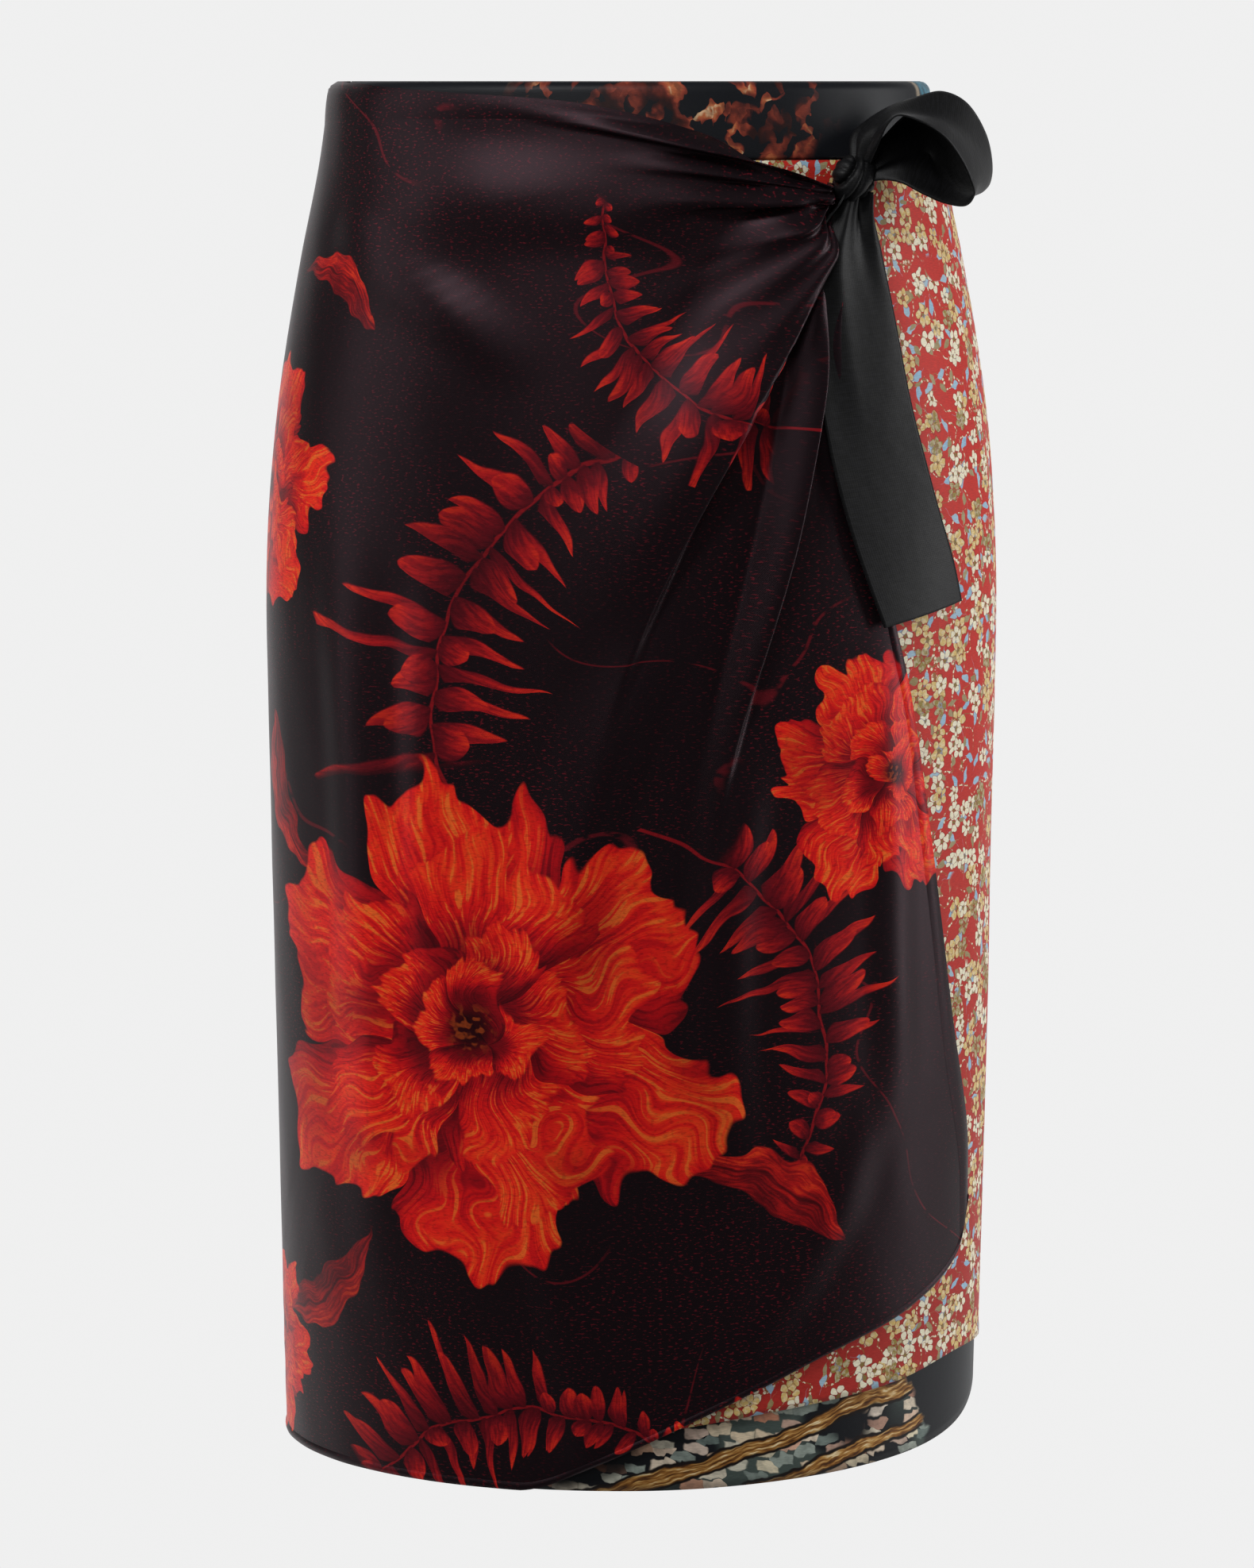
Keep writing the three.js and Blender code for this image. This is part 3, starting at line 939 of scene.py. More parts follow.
    def paint_ground(self, cloth: Wire) -> Sequence[Wire]:
        """The plum ground with flecks and thin twigs, the flecks' mask, and the motifs' wear."""
        u, v, _ = cloth.parts()
        fleck = (u * 0.35).joined(v).noise(1150.0, 1.0).ramp(0.62, 0.76)
        patch = cloth.noise(9.0, 2.0).ramp(0.36, 0.66)
        colour = (fleck * (patch * 0.34 + 0.08)).blend(self.GROUND, "8c1c2c")
        line = ((u * 0.6).joined(v).noise(5.5, 2.0) - 0.5).size().ramp(0.0024, 0.0008)
        places = (u + 3.0).joined(v).noise(6.5, 0.0).ramp(0.5, 0.58)
        twigs = line * places * (u * 0.5).joined(v).noise(160.0, 1.0).ramp(0.35, 0.5)
        colour = (twigs * 0.5).blend(colour, "7c1620")
        mottle = (u * 0.5).joined(v).noise(700.0, 1.0).ramp(0.25, 0.5)
        wear = (mottle * 0.24 + 0.76) * (cloth.noise(15.0, 1.0).ramp(0.28, 0.5) * 0.3 + 0.7)
        return colour, fleck, wear


@dataclass(frozen=True)
class DarkFloral(Cloth):
    """Near-black plum silk with large red and orange blooms, leaves and sprays."""

    motifs: FloralMotifs | None = None
    blooms: tuple[Spot, ...] = ()
    leaves: tuple[Spot, ...] = ()
    sprays: tuple[Spot, ...] = ()

    def nearest(self, cloth: Wire, spots: Sequence[Spot]) -> tuple[Wire, Wire]:
        """Coordinates in the nearest motif.

        Args:
            cloth: flat cloth coordinates in metres.
            spots: the motifs.

        Returns:
            A vector in units of the motif's size, turned with it, and a number that tells motifs
            apart.
        """
        best: Wire | None = None
        best_distance: Wire | None = None
        for spot in spots:
            zoom = 1.0 / (spot.size * MM)
            centre = (spot.x * MM, -spot.y * MM, 0.0)
            offset = (-centre[0] * zoom, -centre[1] * zoom, math.radians(spot.turn))
            scaled = cloth.node(
                "ShaderNodeVectorMath", cloth, (zoom, zoom, 0.0), offset, operation="MULTIPLY_ADD"
            )
            here = cloth.out(scaled)
            span = cloth.node("ShaderNodeVectorMath", cloth, centre, operation="DISTANCE")
            distance = cloth.out(span, "Value") * zoom
            if best is None:
                best, best_distance = here, distance
                continue
            closer = distance.math("LESS_THAN", best_distance)
            best = closer.blend(best, here)
            best_distance = distance.math("MINIMUM", best_distance)
        _, _, turn = best.parts()
        x, y, _ = best.turned(turn * -1.0).parts()
        return x.joined(y), turn * 3.7

    def paint(self, cloth: Wire) -> tuple[Wire, Wire]:
        """Blooms over leaves over sprays, on a flecked ground."""
        motifs = self.motifs
        colour, flecks, wear = cloth.effect(motifs.ground, cloth)
        groups = (motifs.spray, motifs.leaf, motifs.bloom)
        for group, spots in zip(groups, (self.sprays, self.leaves, self.blooms)):
            painted, mask = cloth.effect(group, *self.nearest(cloth, spots))
            colour = (mask * wear).blend(colour, painted)
        return colour, flecks * 0.00001


@dataclass(frozen=True)
class UnderPrint(Cloth):
    """Near-black silk with brushed stepped motifs in coral, ochre, cream and grey-green."""

    outline_scale: float = 34.0
    step: float = 0.006
    stroke: tuple[float, float] = (0.0125, 0.0072)
    hem_tilt: float = 0.13

    GROUND = "14161b"
    GOLD_LINES = ((-0.677, 0.0046), (-0.6985, 0.003))  # place up from the waist, and half width
    RIM = 0.0016  # of the dark outline round each gold line

    def outlines(self, x: Wire, y: Wire) -> tuple[Wire, Wire]:
        """Stepped wandering outlines in coral and brown, as colour and mask."""
        stepped = []
        for place in (x + y, y - x):
            level = (place / self.step).floor() * self.step
            stepped.append(place.toward(level, 0.62))
        field = stepped[0].joined(stepped[1]).noise(self.outline_scale, 1.0)
        off = (field - 0.5).size()
        uneven = (x + 5.0).joined(y).noise(60.0, 1.0).ramp(0.3, 0.7)
        tones = (
            (0.0, "2c1614"), (0.25, "6c2c22"), (0.55, "a04632"), (0.85, "c06e44"), (1.0, "e4bc92"),
        )
        tone = uneven * (off.ramp(0.06, 0.0) * 0.5 + 0.5)
        return tone.colours(*tones), off.ramp(0.085, 0.06)

    def strokes(self, x: Wire, y: Wire) -> tuple[Wire, Wire]:
        """Short slanted strokes in cream, peach and grey-green, as colour and mask."""
        slanted = y + x * self.hem_tilt
        local, colour = (x / self.stroke[0]).joined(slanted / self.stroke[1]).cells(0.62)
        pick, odd, _ = colour.parts()
        across, down, _ = local.parts()
        jog = across.ramp(-0.05, 0.05) - 0.5
        down = down - jog * 0.4 * (odd - 0.3)
        body = across.size().ramp(0.54, 0.44) * down.size().ramp(0.4, 0.3)
        tones = (
            (0.0, "6b7974"), (0.22, "a4aea4"), (0.36, "e0d8c2"), (0.55, "ecd2ba"), (0.68, "cf7e5e"),
            (0.8, "e6dabc"), (0.92, "9c5c40"), (1.0, "f2eada"),
        )
        return pick.colours(*tones), body * odd.ramp(0.1, 0.14)

    def paint(self, cloth: Wire) -> tuple[Wire, Wire]:
        """Coral outlines at the waist, pale strokes and gold lines at the hem, dark elsewhere."""
        u, v, _ = cloth.parts()
        push_x, push_y = cloth.wander(90.0, 2.0)
        sway = cloth.noise(22.0, 1.0) - 0.5
        x = u + push_x * 0.012 + sway * 0.012
        y = v + push_y * 0.012 + sway * 0.016
        grain = (u + v * 0.4).joined(v).noise(190.0, 2.0).ramp(0.28, 0.6)
        low = v.ramp(-0.52, -0.6)
        places = (u + 4.37).joined(v).noise(19.0, 1.0)
        high = places.ramp(0.3, 0.42) * u.ramp(0.128, 0.1) * u.ramp(-0.08, -0.04)
        colour, mask = self.outlines(x, y)
        colour = (mask * high * (1.0 - low) * (grain * 0.5 + 0.45)).blend(self.GROUND, colour)
        plain = (u + (v + 0.665).size() * 0.6 + push_x * 0.012).ramp(0.166, 0.17)
        shown = low * (1.0 - plain)
        colour = (places.ramp(0.4, 0.55) * shown * 0.7).blend(colour, "55625c")
        strokes, body = self.strokes(u + push_x * 0.006, v + push_y * 0.006)
        body = body * shown * places.ramp(0.22, 0.34)
        colour = (body * (grain * 0.3 + 0.7)).blend(colour, strokes)
        hem_run = v - u * self.hem_tilt * 2.0 + sway * 0.012 + push_y * 0.004
        gold = (u * 1.5).joined(hem_run * 12.0).noise(60.0, 2.0)
        gold = gold.colours((0.3, "4c2c16"), (0.48, "94622c"), (0.62, "c79a58"), (0.74, "ecd9ae"))
        for place, half in self.GOLD_LINES:
            off = (hem_run - place).size()
            rim = off.ramp(half + self.RIM, half + self.RIM / 2) * shown
            colour = rim.blend(colour, "1a1210")
            colour = (off.ramp(half, half * 0.75) * shown).blend(colour, gold)
        edge = v.ramp(-0.022, -0.016)
        teal = (u + push_x * 0.012).ramp(0.2, 0.208) * (u + push_y * 0.02).ramp(0.24, 0.226)
        colour = (teal * edge * (grain * 0.5 + 0.35)).blend(colour, "3f8299")
        colour = (u.ramp(0.195, 0.199) * u.ramp(0.203, 0.2) * edge * 0.6).blend(colour, "b9a892")
        return colour, grain * 0.00001


@dataclass(frozen=True)
class RedDitsy(Cloth):
    """Red cloth with small cream and gold flowers, light blue leaves, dots and fine stems."""

    flower_cell: float = 0.0142

    GROUND = "c62c22"
    BLUE = "86b4d4"
    CREAM = "ece4c8"
    GOLD = "d8ba74"
    OLIVE = "86703a"
    # the flowers: size against the largest, shift, share left out
    FLOWERS = ((1.0, 0.0, 0.27), (0.8, 5.3, 0.6))
    # the leaves: cell in metres, shift, share left out, colour
    LEAVES = ((0.0112, 3.1, 0.26, BLUE), (0.0092, 7.9, 0.46, OLIVE))

    def petals(self, cloth: Wire, cell: float, shift: float, keep: float) -> Sequence[Wire]:
        """Scattered flowers of five round petals.

        Args:
            cloth: flat cloth coordinates in metres.
            cell: the space for each flower in metres.
            shift: moves this scatter off the others.
            keep: the share of places left without a flower.

        Returns:
            The petals' mask, the flowers' hearts, their outlines, and a random number for each.
        """
        u, v, _ = cloth.parts()
        local, colour = (u / cell + shift).joined(v / cell + shift * 0.7).cells(0.7)
        pick, spin, odd = colour.parts()
        x, y, _ = local.parts()
        radius = x.length(y)
        sector = 2 * math.pi / 5
        angle = y.math("ARCTAN2", x) + spin * FULL_TURN + 10.0
        swing = angle - ((angle / sector).floor() + 0.5) * sector
        size = odd * 0.28 + 0.86
        out = (radius / size * swing.math("COSINE") - 0.25) / 0.15
        side = (radius / size * swing.math("SINE")) / 0.13
        shown = pick.above(keep)
        round_petal = out * out + side * side
        petal = round_petal.ramp(1.15, 0.85) * shown
        heart = radius.ramp(0.09, 0.05) * shown
        return petal, heart, round_petal.ramp(1.75, 1.35) * shown, odd

    def leaves(self, cloth: Wire, cell: float, shift: float, keep: float) -> tuple[Wire, Wire]:
        """Scattered pointed leaves, as a mask and a random number for each."""
        u, v, _ = cloth.parts()
        local, colour = (u / cell + shift).joined(v / cell - shift).cells(0.9)
        pick, spin, odd = colour.parts()
        x, y, _ = local.turned(spin * FULL_TURN).parts()
        width = (0.13 - x * x).at_least(0.0) * 1.2
        leaf = (y.size() - width).ramp(0.02, -0.02)
        return leaf * pick.above(keep), odd

    def paint(self, cloth: Wire) -> tuple[Wire, Wire]:
        """Stems, dots and leaves under two scatters of flowers, thick in some places."""
        u, v, _ = cloth.parts()
        push_x, push_y = cloth.wander(210.0, 1.0)
        bent = (u + push_x * 0.003).joined(v + push_y * 0.003)
        cluster = (u + v * 0.5).joined(v - u * 0.5).noise(26.0, 1.0).ramp(0.16, 0.32)
        grain = cloth.noise(420.0, 2.0)
        ground = (v.ramp(-0.25, -0.66)).blend(self.GROUND, "a82a23")
        colour = (grain.ramp(0.35, 0.65) * 0.35).blend(ground, "b42f28")
        contour = (cloth.noise(70.0, 1.0) - 0.5).size()
        stem = contour.ramp(0.012, 0.005) * cluster
        beads, _ = (u / 0.0024).joined(v / 0.0024).cells(0.8)
        bead_x, bead_y, _ = beads.parts()
        dots = (bead_x * bead_x + bead_y * bead_y).ramp(0.15, 0.08) * contour.ramp(0.028, 0.02)
        dots = dots * cluster
        colour = (stem * 0.7).blend(colour, self.OLIVE)
        colour = (dots * grain.ramp(0.4, 0.5)).blend(colour, self.CREAM)
        for cell, shift, keep, hue in self.LEAVES:
            leaf, odd = self.leaves(bent, cell, shift, keep)
            leaf = leaf * cluster.ramp(0.0, 0.25)
            shade = (odd * 0.15 + grain * 0.2).blend(hue, self.CREAM)
            colour = leaf.blend(colour, shade)
        for size, shift, keep in self.FLOWERS:
            cell = self.flower_cell * size
            petal, heart, outline, odd = self.petals(bent, cell, shift, keep)
            shown = cluster.ramp(0.05, 0.35).at_least(odd.above(0.72))
            hue = odd.above(0.52).blend(self.CREAM, self.GOLD)
            hue = odd.above(0.88).blend(hue, "94803f")
            hue = (grain.ramp(0.42, 0.6) * 0.3).blend(hue, "f4eedd")
            colour = (outline * shown * 0.55).blend(colour, "7c2a1c")
            colour = (petal * shown).blend(colour, hue)
            colour = (heart * shown).blend(colour, self.OLIVE)
        return colour, grain * 0.00003


def plain_paper(name: str) -> bpy.types.Material:
    """An even pale surface that holds its tone in shade, for the floor and backdrop."""
    material = bpy.data.materials.new(name)
    material.use_nodes = True
    set_inputs(
        material.node_tree.nodes["Principled BSDF"],
        {
            "Base Color": srgb("000000"),
            "Roughness": 1.0,
            "Specular IOR Level": 0.0,
            "Emission Color": srgb("ffffff"),
            "Emission Strength": PAPER_TONE,
        },
    )
    return material


@dataclass
class Finishes:
    """All the skirt's finishes, built once."""

    front_floral: bpy.types.Material = field(init=False)
    back_floral: bpy.types.Material = field(init=False)
    under_print: bpy.types.Material = field(init=False)
    red_ditsy: bpy.types.Material = field(init=False)
    tie_silk: bpy.types.Material = field(init=False)
    paper: bpy.types.Material = field(init=False)

    # the prints' blooms, leaves and sprays: across and down in millimetres, size and turn
    FRONT = (
        ((-78, 452, 122, 20), (128, 330, 62, 80), (-226, 196, 66, 10), (-236, 628, 54, 60),
         (66, 690, 60, 200)),
        ((64, 530, 50, -24), (-196, 352, 46, 120), (-165, 590, 46, 215), (196, 372, 40, 75),
         (-168, 96, 38, -20)),
        ((-66, 216, 118, 52), (92, 440, 96, -78), (-60, 640, 92, 8), (4, 128, 78, 128)),
    )
    BACK = (
        ((345, 240, 84, 30), (520, 430, 112, 110), (600, 130, 60, 250), (330, 590, 62, 300),
         (700, 560, 64, 15)),
        ((420, 330, 48, 20), (450, 570, 46, 160), (620, 290, 46, 80), (250, 420, 44, 60),
         (580, 630, 40, -20)),
        ((410, 110, 96, 30), (640, 420, 104, 110), (385, 450, 96, -66), (240, 300, 70, 200)),
    )

    def __post_init__(self) -> None:
        """Builds the weave and the materials."""
        weave = effect_group(
            "woven_threads", {"Cloth": Socket.VECTOR} | numbers("Thread", "Slant"),
            numbers("Height", "Tone"), threads,
        )
        motifs = FloralMotifs()
        self.front_floral = self.floral("dark_floral_front", motifs, self.FRONT).build(weave)
        self.back_floral = self.floral("dark_floral_back", motifs, self.BACK).build(weave)
        self.under_print = UnderPrint(
            "under_print_silk", roughness=0.45, specular=0.2, sheen=0.03
        ).build(weave)
        self.red_ditsy = RedDitsy(
            "red_ditsy_cloth", roughness=0.55, specular=0.2, sheen=0.03,
            thread=0.00014, weave_depth=0.00004,
        ).build(weave)
        self.tie_silk = TieSilk(
            "black_tie_silk", roughness=0.5, specular=0.2, sheen=0.03, sheen_tint="b8b8c0",
            thread=0.00016, slant=0.0, weave_depth=0.00004,
        ).build(weave)
        self.paper = plain_paper("backdrop_paper")

    def floral(self, name: str, motifs: FloralMotifs, spots: Sequence[Rows]) -> DarkFloral:
        """The dark floral silk, with its blooms, leaves and sprays at given spots."""
        blooms, leaves, sprays = (tuple(Spot(*row) for row in rows) for rows in spots)
        return DarkFloral(
            name, roughness=0.36, sheen=0.04, sheen_roughness=0.3, sheen_tint="b07898",
            specular=0.2, gloss_tint="ffd0e0", motifs=motifs, blooms=blooms, leaves=leaves,
            sprays=sprays,
        )


# --- Panels


@dataclass
class Panel(ABC):
    """Something sewn from bent grids of cloth."""

    thickness: float = 0.5
    columns: int = 150
    rows: int = 150

    @abstractmethod
    def build(self, finishes: Finishes) -> None:
        """Makes and dresses the pieces."""

    def sew(
        self, name: str, place: Place, material: bpy.types.Material, slot: str, node: str,
        **cells: int,
    ) -> bpy.types.Object:
        """Makes and dresses one piece.

        Args:
            name: the piece's name.
            place: puts its grid in place.
            material: its finish.
            slot: its record slot, passed on but not used.
            node: the solid it stands for.
            cells: columns or rows other than the panel's own.

        Returns:
            The piece.
        """
        size = {"columns": self.columns, "rows": self.rows} | cells
        piece = bend_grid(name, size["columns"], size["rows"], place)
        thicken(piece, self.thickness)
        dress(piece, material, slot, node)
        return piece


@dataclass
class UnderLayer(Panel):
    """The dark printed yoke and the long panel under it."""

    yoke_rows: int = 26

    YOKE_SHARE = 0.92  # the yoke's own cloth as a share of its flat rectangle

    def build(self, finishes: Finishes) -> None:
        """Makes and dresses the yoke and the panel."""
        width = float(FORM.girth(SIDE_SEAM) - FORM.girth(YOKE_EDGE))
        silk, rows = finishes.under_print, self.yoke_rows
        yoke = self.sew("yoke_band", self.yoke, silk, "under_print", "front_yoke", rows=rows)
        panel = self.sew("under_panel", self.panel, silk, "under_print", "under_front")
        width = float(FORM.girth(SIDE_SEAM) - FORM.girth(UNDER_EDGE))

    def yoke(self, across: Array, down: Array) -> tuple[Array, Array]:
        """Places the yoke."""
        turn = mix(YOKE_EDGE, SIDE_SEAM, across)
        drop = YOKE_DEPTH * down**1.35
        seam = 0.5 * smoothstep(drop, YOKE_DEPTH - 1.6, YOKE_DEPTH)
        lift = Layer.UNDER.value - seam + 0.12 * ripple(turn, drop, 60.0, 0.4)
        return FORM.point(turn, drop, lift), FORM.flat(turn, drop)

    def panel(self, across: Array, down: Array) -> tuple[Array, Array]:
        """Places the long panel."""
        turn = mix(UNDER_EDGE, SIDE_SEAM, across)
        drop = mix(YOKE_DEPTH + SEAM_GAP, UNDER_HEM.at(turn), down)
        lift = Layer.UNDER.value + 0.15 * ripple(turn, drop, 150.0, 1.1)
        return FORM.point(turn, drop, lift), FORM.flat(turn, drop)


@dataclass
class RedPanel(Panel):
    """The red small-flowered panel over the under layer."""

    rows: int = 190
    length: float = 0.62  # in metres
    hem: float = 5.0  # depth of its turned-up hem

    def build(self, finishes: Finishes) -> None:
        """Makes and dresses the panel."""
        ditsy = finishes.red_ditsy
        panel = self.sew("red_flowered_panel", self.place, ditsy, "red_ditsy", "red_panel")
        width = float(FORM.girth(SIDE_SEAM) - FORM.girth(RED_HEM.rows[0][0]))

    def place(self, across: Array, down: Array) -> tuple[Array, Array]:
        """Places the panel, with a slight ridge where its hem is turned up."""
        turn = mix(RED_HEM.rows[0][0], SIDE_SEAM, across)
        hem = RED_HEM.at(turn)
        drop = mix(YOKE_DEPTH, hem, down)
        bent_turn, bent_drop, lift = fold_cloth(RED_FOLDS, turn, drop)
        lift = lift + Layer.RED.value + RED_LIFT.at(turn) + 0.2 * ripple(turn, drop, 110.0, 2.2)
        lift = lift + 0.35 * smoothstep(drop, hem - self.hem - 0.8, hem - self.hem)
        lift = lift - 0.9 * (1 - smoothstep(drop, YOKE_DEPTH, YOKE_DEPTH + 3.0))
        return FORM.point(bent_turn, bent_drop, lift), FORM.flat(turn, drop)


@dataclass
class OuterPanel(Panel):
    """The large dark panel, wrapped over the front and gathered into the tie."""

    columns: int = 168
    rows: int = 236
    hem_width: float = 4.2
    hem_cells: tuple[int, int] = (900, 6)
    widest: float = 68.0  # the turn its front edge reaches
    area: float = 0.275  # of its cloth, in square metres
    seam_share: float = 0.56
    gather_reach: float = 125.0
    gather_height: float = 4.0
    knot_rise: float = 3.0
    knot_reach: float = 22.0

    KNOT = (37.6, 51.0)
    HEM_LENGTHS = (0.42, 0.7)  # shares of the rolled strip where the hem and the front edge end
    TOP_EDGE = Edge(
        ((36.9, 49), (30.7, 42.5), (23.1, 36), (11.7, 23.5), (-2.3, 13.4), (-13.7, 8.6), (-36, 5),
         (-68, 0.6), (-100, 0))
    )
    FRONT_EDGE = Edge(
        ((38.3, 53), (40.2, 150), (42, 240), (47.2, 295), (53.5, 375), (60.7, 460), (67, 515),
         (68.3, 553))
    )
    HEM = Edge(
        ((-100, LENGTH), (-60, LENGTH), (-17.7, LENGTH), (-4.5, 664.5), (12.8, 640), (31.6, 616),
         (50.1, 598), (64, 578), (68.3, 553))
    )
    # how the grid's long lines crowd at the folds: share of lines, share of the far side
    LINES = ((0, 0), (0.2, 0.09), (0.36, 0.6), (0.84, 0.88), (1, 1))
    # gathers near the knot: share across the fan, height, width
    GATHERS = (
        (0.02, 1.0, 0.016), (0.065, 0.7, 0.016), (0.12, 1.0, 0.024), (0.19, 0.7, 0.026),
        (0.27, 0.9, 0.03), (0.36, 0.8, 0.034), (0.47, 0.7, 0.04), (0.58, 0.9, 0.04),
        (0.7, 0.7, 0.035), (0.82, 1.0, 0.035), (0.93, 0.7, 0.026),
    )

    def build(self, finishes: Finishes) -> None:
        """Makes and dresses the panel and its narrow rolled hem."""
        silk = finishes.front_floral
        panel = self.sew("wrap_panel", self.place, silk, "dark_floral", "outer_panel")
        hem = bend_grid("wrap_panel_hem", *self.hem_cells, self.place_hem)
        dress(hem, silk, "dark_floral")
        width = float(FORM.girth(self.widest) - FORM.girth(-SIDE_SEAM))

    def spot(self, share: Array, reach: Array) -> tuple[Array, Array]:
        """The place a reach along one of the lines that fan out from the knot.

        Args:
            share: which line, from 0 at the top edge to 1 at the front edge.
            reach: how far along it, from 0 at the knot.

        Returns:
            The turn and the drop.
        """
        ends = np.array([0.0, 1.0])
        hem_share = np.clip((share - self.seam_share) / (1 - self.seam_share), 0.0, 1.0)
        on_seam = share < self.seam_share
        hem = self.HEM.at(hem_share)
        far = (
            np.where(on_seam, -SIDE_SEAM, hem[0]),
            np.where(on_seam, LENGTH * share / self.seam_share, np.minimum(hem[1], LENGTH)),
        )
        far_ends = ((-SIDE_SEAM, 0.0), (self.HEM.rows[-1][0], self.HEM.rows[-1][1]))
        top, front = self.TOP_EDGE.at(reach), self.FRONT_EDGE.at(reach)
        result = []
        for axis in (0, 1):
            top_end = self.TOP_EDGE.at(ends)[axis]
            front_end = self.FRONT_EDGE.at(ends)[axis]
            near = mix(top_end[0], front_end[0], share)
            sides = mix(top[axis], front[axis], share)
            corners = mix(near, mix(far_ends[0][axis], far_ends[1][axis], share), reach)
            result.append(sides + mix(near, far[axis], reach) - corners)
        return result[0], result[1]

    def lay(self, share: Array, turn: Array, drop: Array) -> tuple[Array, Array, Array]:
        """Folds and gathers the cloth.

        Args:
            share: which line of the fan each place is on.
            turn: degrees round from centre front.
            drop: millimetres below the waist.

        Returns:
            The shifted turns, the shifted drops and the lifts.
        """
        bent_turn, bent_drop, lift = fold_cloth(OUTER_FOLDS, turn, drop)
        distance = np.hypot((turn - self.KNOT[0]) * MM_PER_DEGREE, drop - self.KNOT[1])
        gather = sum(h * bell(share, at, width) for at, h, width in self.GATHERS)
        near = (1 - smoothstep(distance, 12.0, self.gather_reach)) * smoothstep(distance, 0.0, 9.0)
        lift = lift + self.gather_height * gather * near
        lift = lift + self.knot_rise * (1 - smoothstep(distance, 0.0, self.knot_reach))
        lift = lift + 0.35 * ripple(turn, drop, 170.0, 0.7) + 0.12 * ripple(turn, drop, 46.0, 2.9)
        return bent_turn, bent_drop, lift + Layer.OUTER.value + OUTER_LIFT.at(turn)

    def place(self, across: Array, down: Array) -> tuple[Array, Array]:
        """Places the panel: down runs from the top edge to the front edge, across to the knot."""
        share = np.interp(down, [row[0] for row in self.LINES], [row[1] for row in self.LINES])
        reach = (1 - across) ** 1.25
        turn, drop = self.spot(share, reach)
        points = FORM.point(*self.lay(share, turn, drop))
        return points, FORM.flat(turn, drop)

    def place_hem(self, across: Array, down: Array) -> tuple[Array, Array]:
        """Places the rolled hem along the hem, the front edge and the top edge, in that order."""
        hem_end, front_end = self.HEM_LENGTHS
        on_hem = across <= hem_end
        on_front = (across > hem_end) & (across <= front_end)
        hem_run = np.clip(across / hem_end, 0, 1)
        front_run = np.clip((across - hem_end) / (front_end - hem_end), 0, 1)
        top_run = np.clip((across - front_end) / (1 - front_end), 0, 1)
        inward = (1 - down) * self.hem_width / LENGTH
        hem_share = mix(self.seam_share, 1.0, hem_run)
        share = np.where(on_hem, hem_share, np.where(on_front, 1 - inward * 3.0, inward * 3.0))
        reach = np.where(on_hem, 1 - inward, np.where(on_front, 1 - front_run, top_run))
        turn, drop = self.spot(share, reach)
        bent_turn, bent_drop, lift = self.lay(share, turn, drop)
        crown = np.sin(np.pi * np.clip(down, 0.0, 1.0)) * 0.55
        return (
            FORM.point(bent_turn, bent_drop, lift + 0.3 + crown),
            FORM.flat(turn, drop),
        )


@dataclass
class BackPanel(Panel):
    """The back, from side seam to side seam."""

    columns: int = 190
    rows: int = 170
    hem: float = 7.0
    allowance: float = 0.5  # how far its edges run under the side seams, in degrees

    def build(self, finishes: Finishes) -> None:
        """Makes and dresses the panel."""
        silk = finishes.back_floral
        panel = self.sew("back_floral_panel", self.place, silk, "dark_floral", "back_panel")
        width = float(FORM.girth(BACK_END) - FORM.girth(SIDE_SEAM))

    def place(self, across: Array, down: Array) -> tuple[Array, Array]:
        """Places the panel, drawn in a little along its two seams."""
        turn = mix(SIDE_SEAM - self.allowance, BACK_END + self.allowance, across)
        hem = UNDER_HEM.at(turn)
        drop = down**1.1 * hem
        from_seam = np.maximum(np.minimum(turn - SIDE_SEAM, BACK_END - turn) * MM_PER_DEGREE, 0.0)
        inner = smoothstep(from_seam, 0.0, 26.0)
        bent_turn, bent_drop, lift = fold_cloth(BACK_FOLDS, turn, drop)
        lift = Layer.UNDER.value + lift * inner + 0.3 * inner * ripple(turn, drop, 160.0, 3.3)
        lift = lift - 1.3 * (1 - smoothstep(from_seam, 0.0, 3.0))
        lift = lift + 0.35 * smoothstep(drop, hem - self.hem - 0.8, hem - self.hem)
        return FORM.point(bent_turn, bent_drop, lift), FORM.flat(turn, drop)


# --- Tie


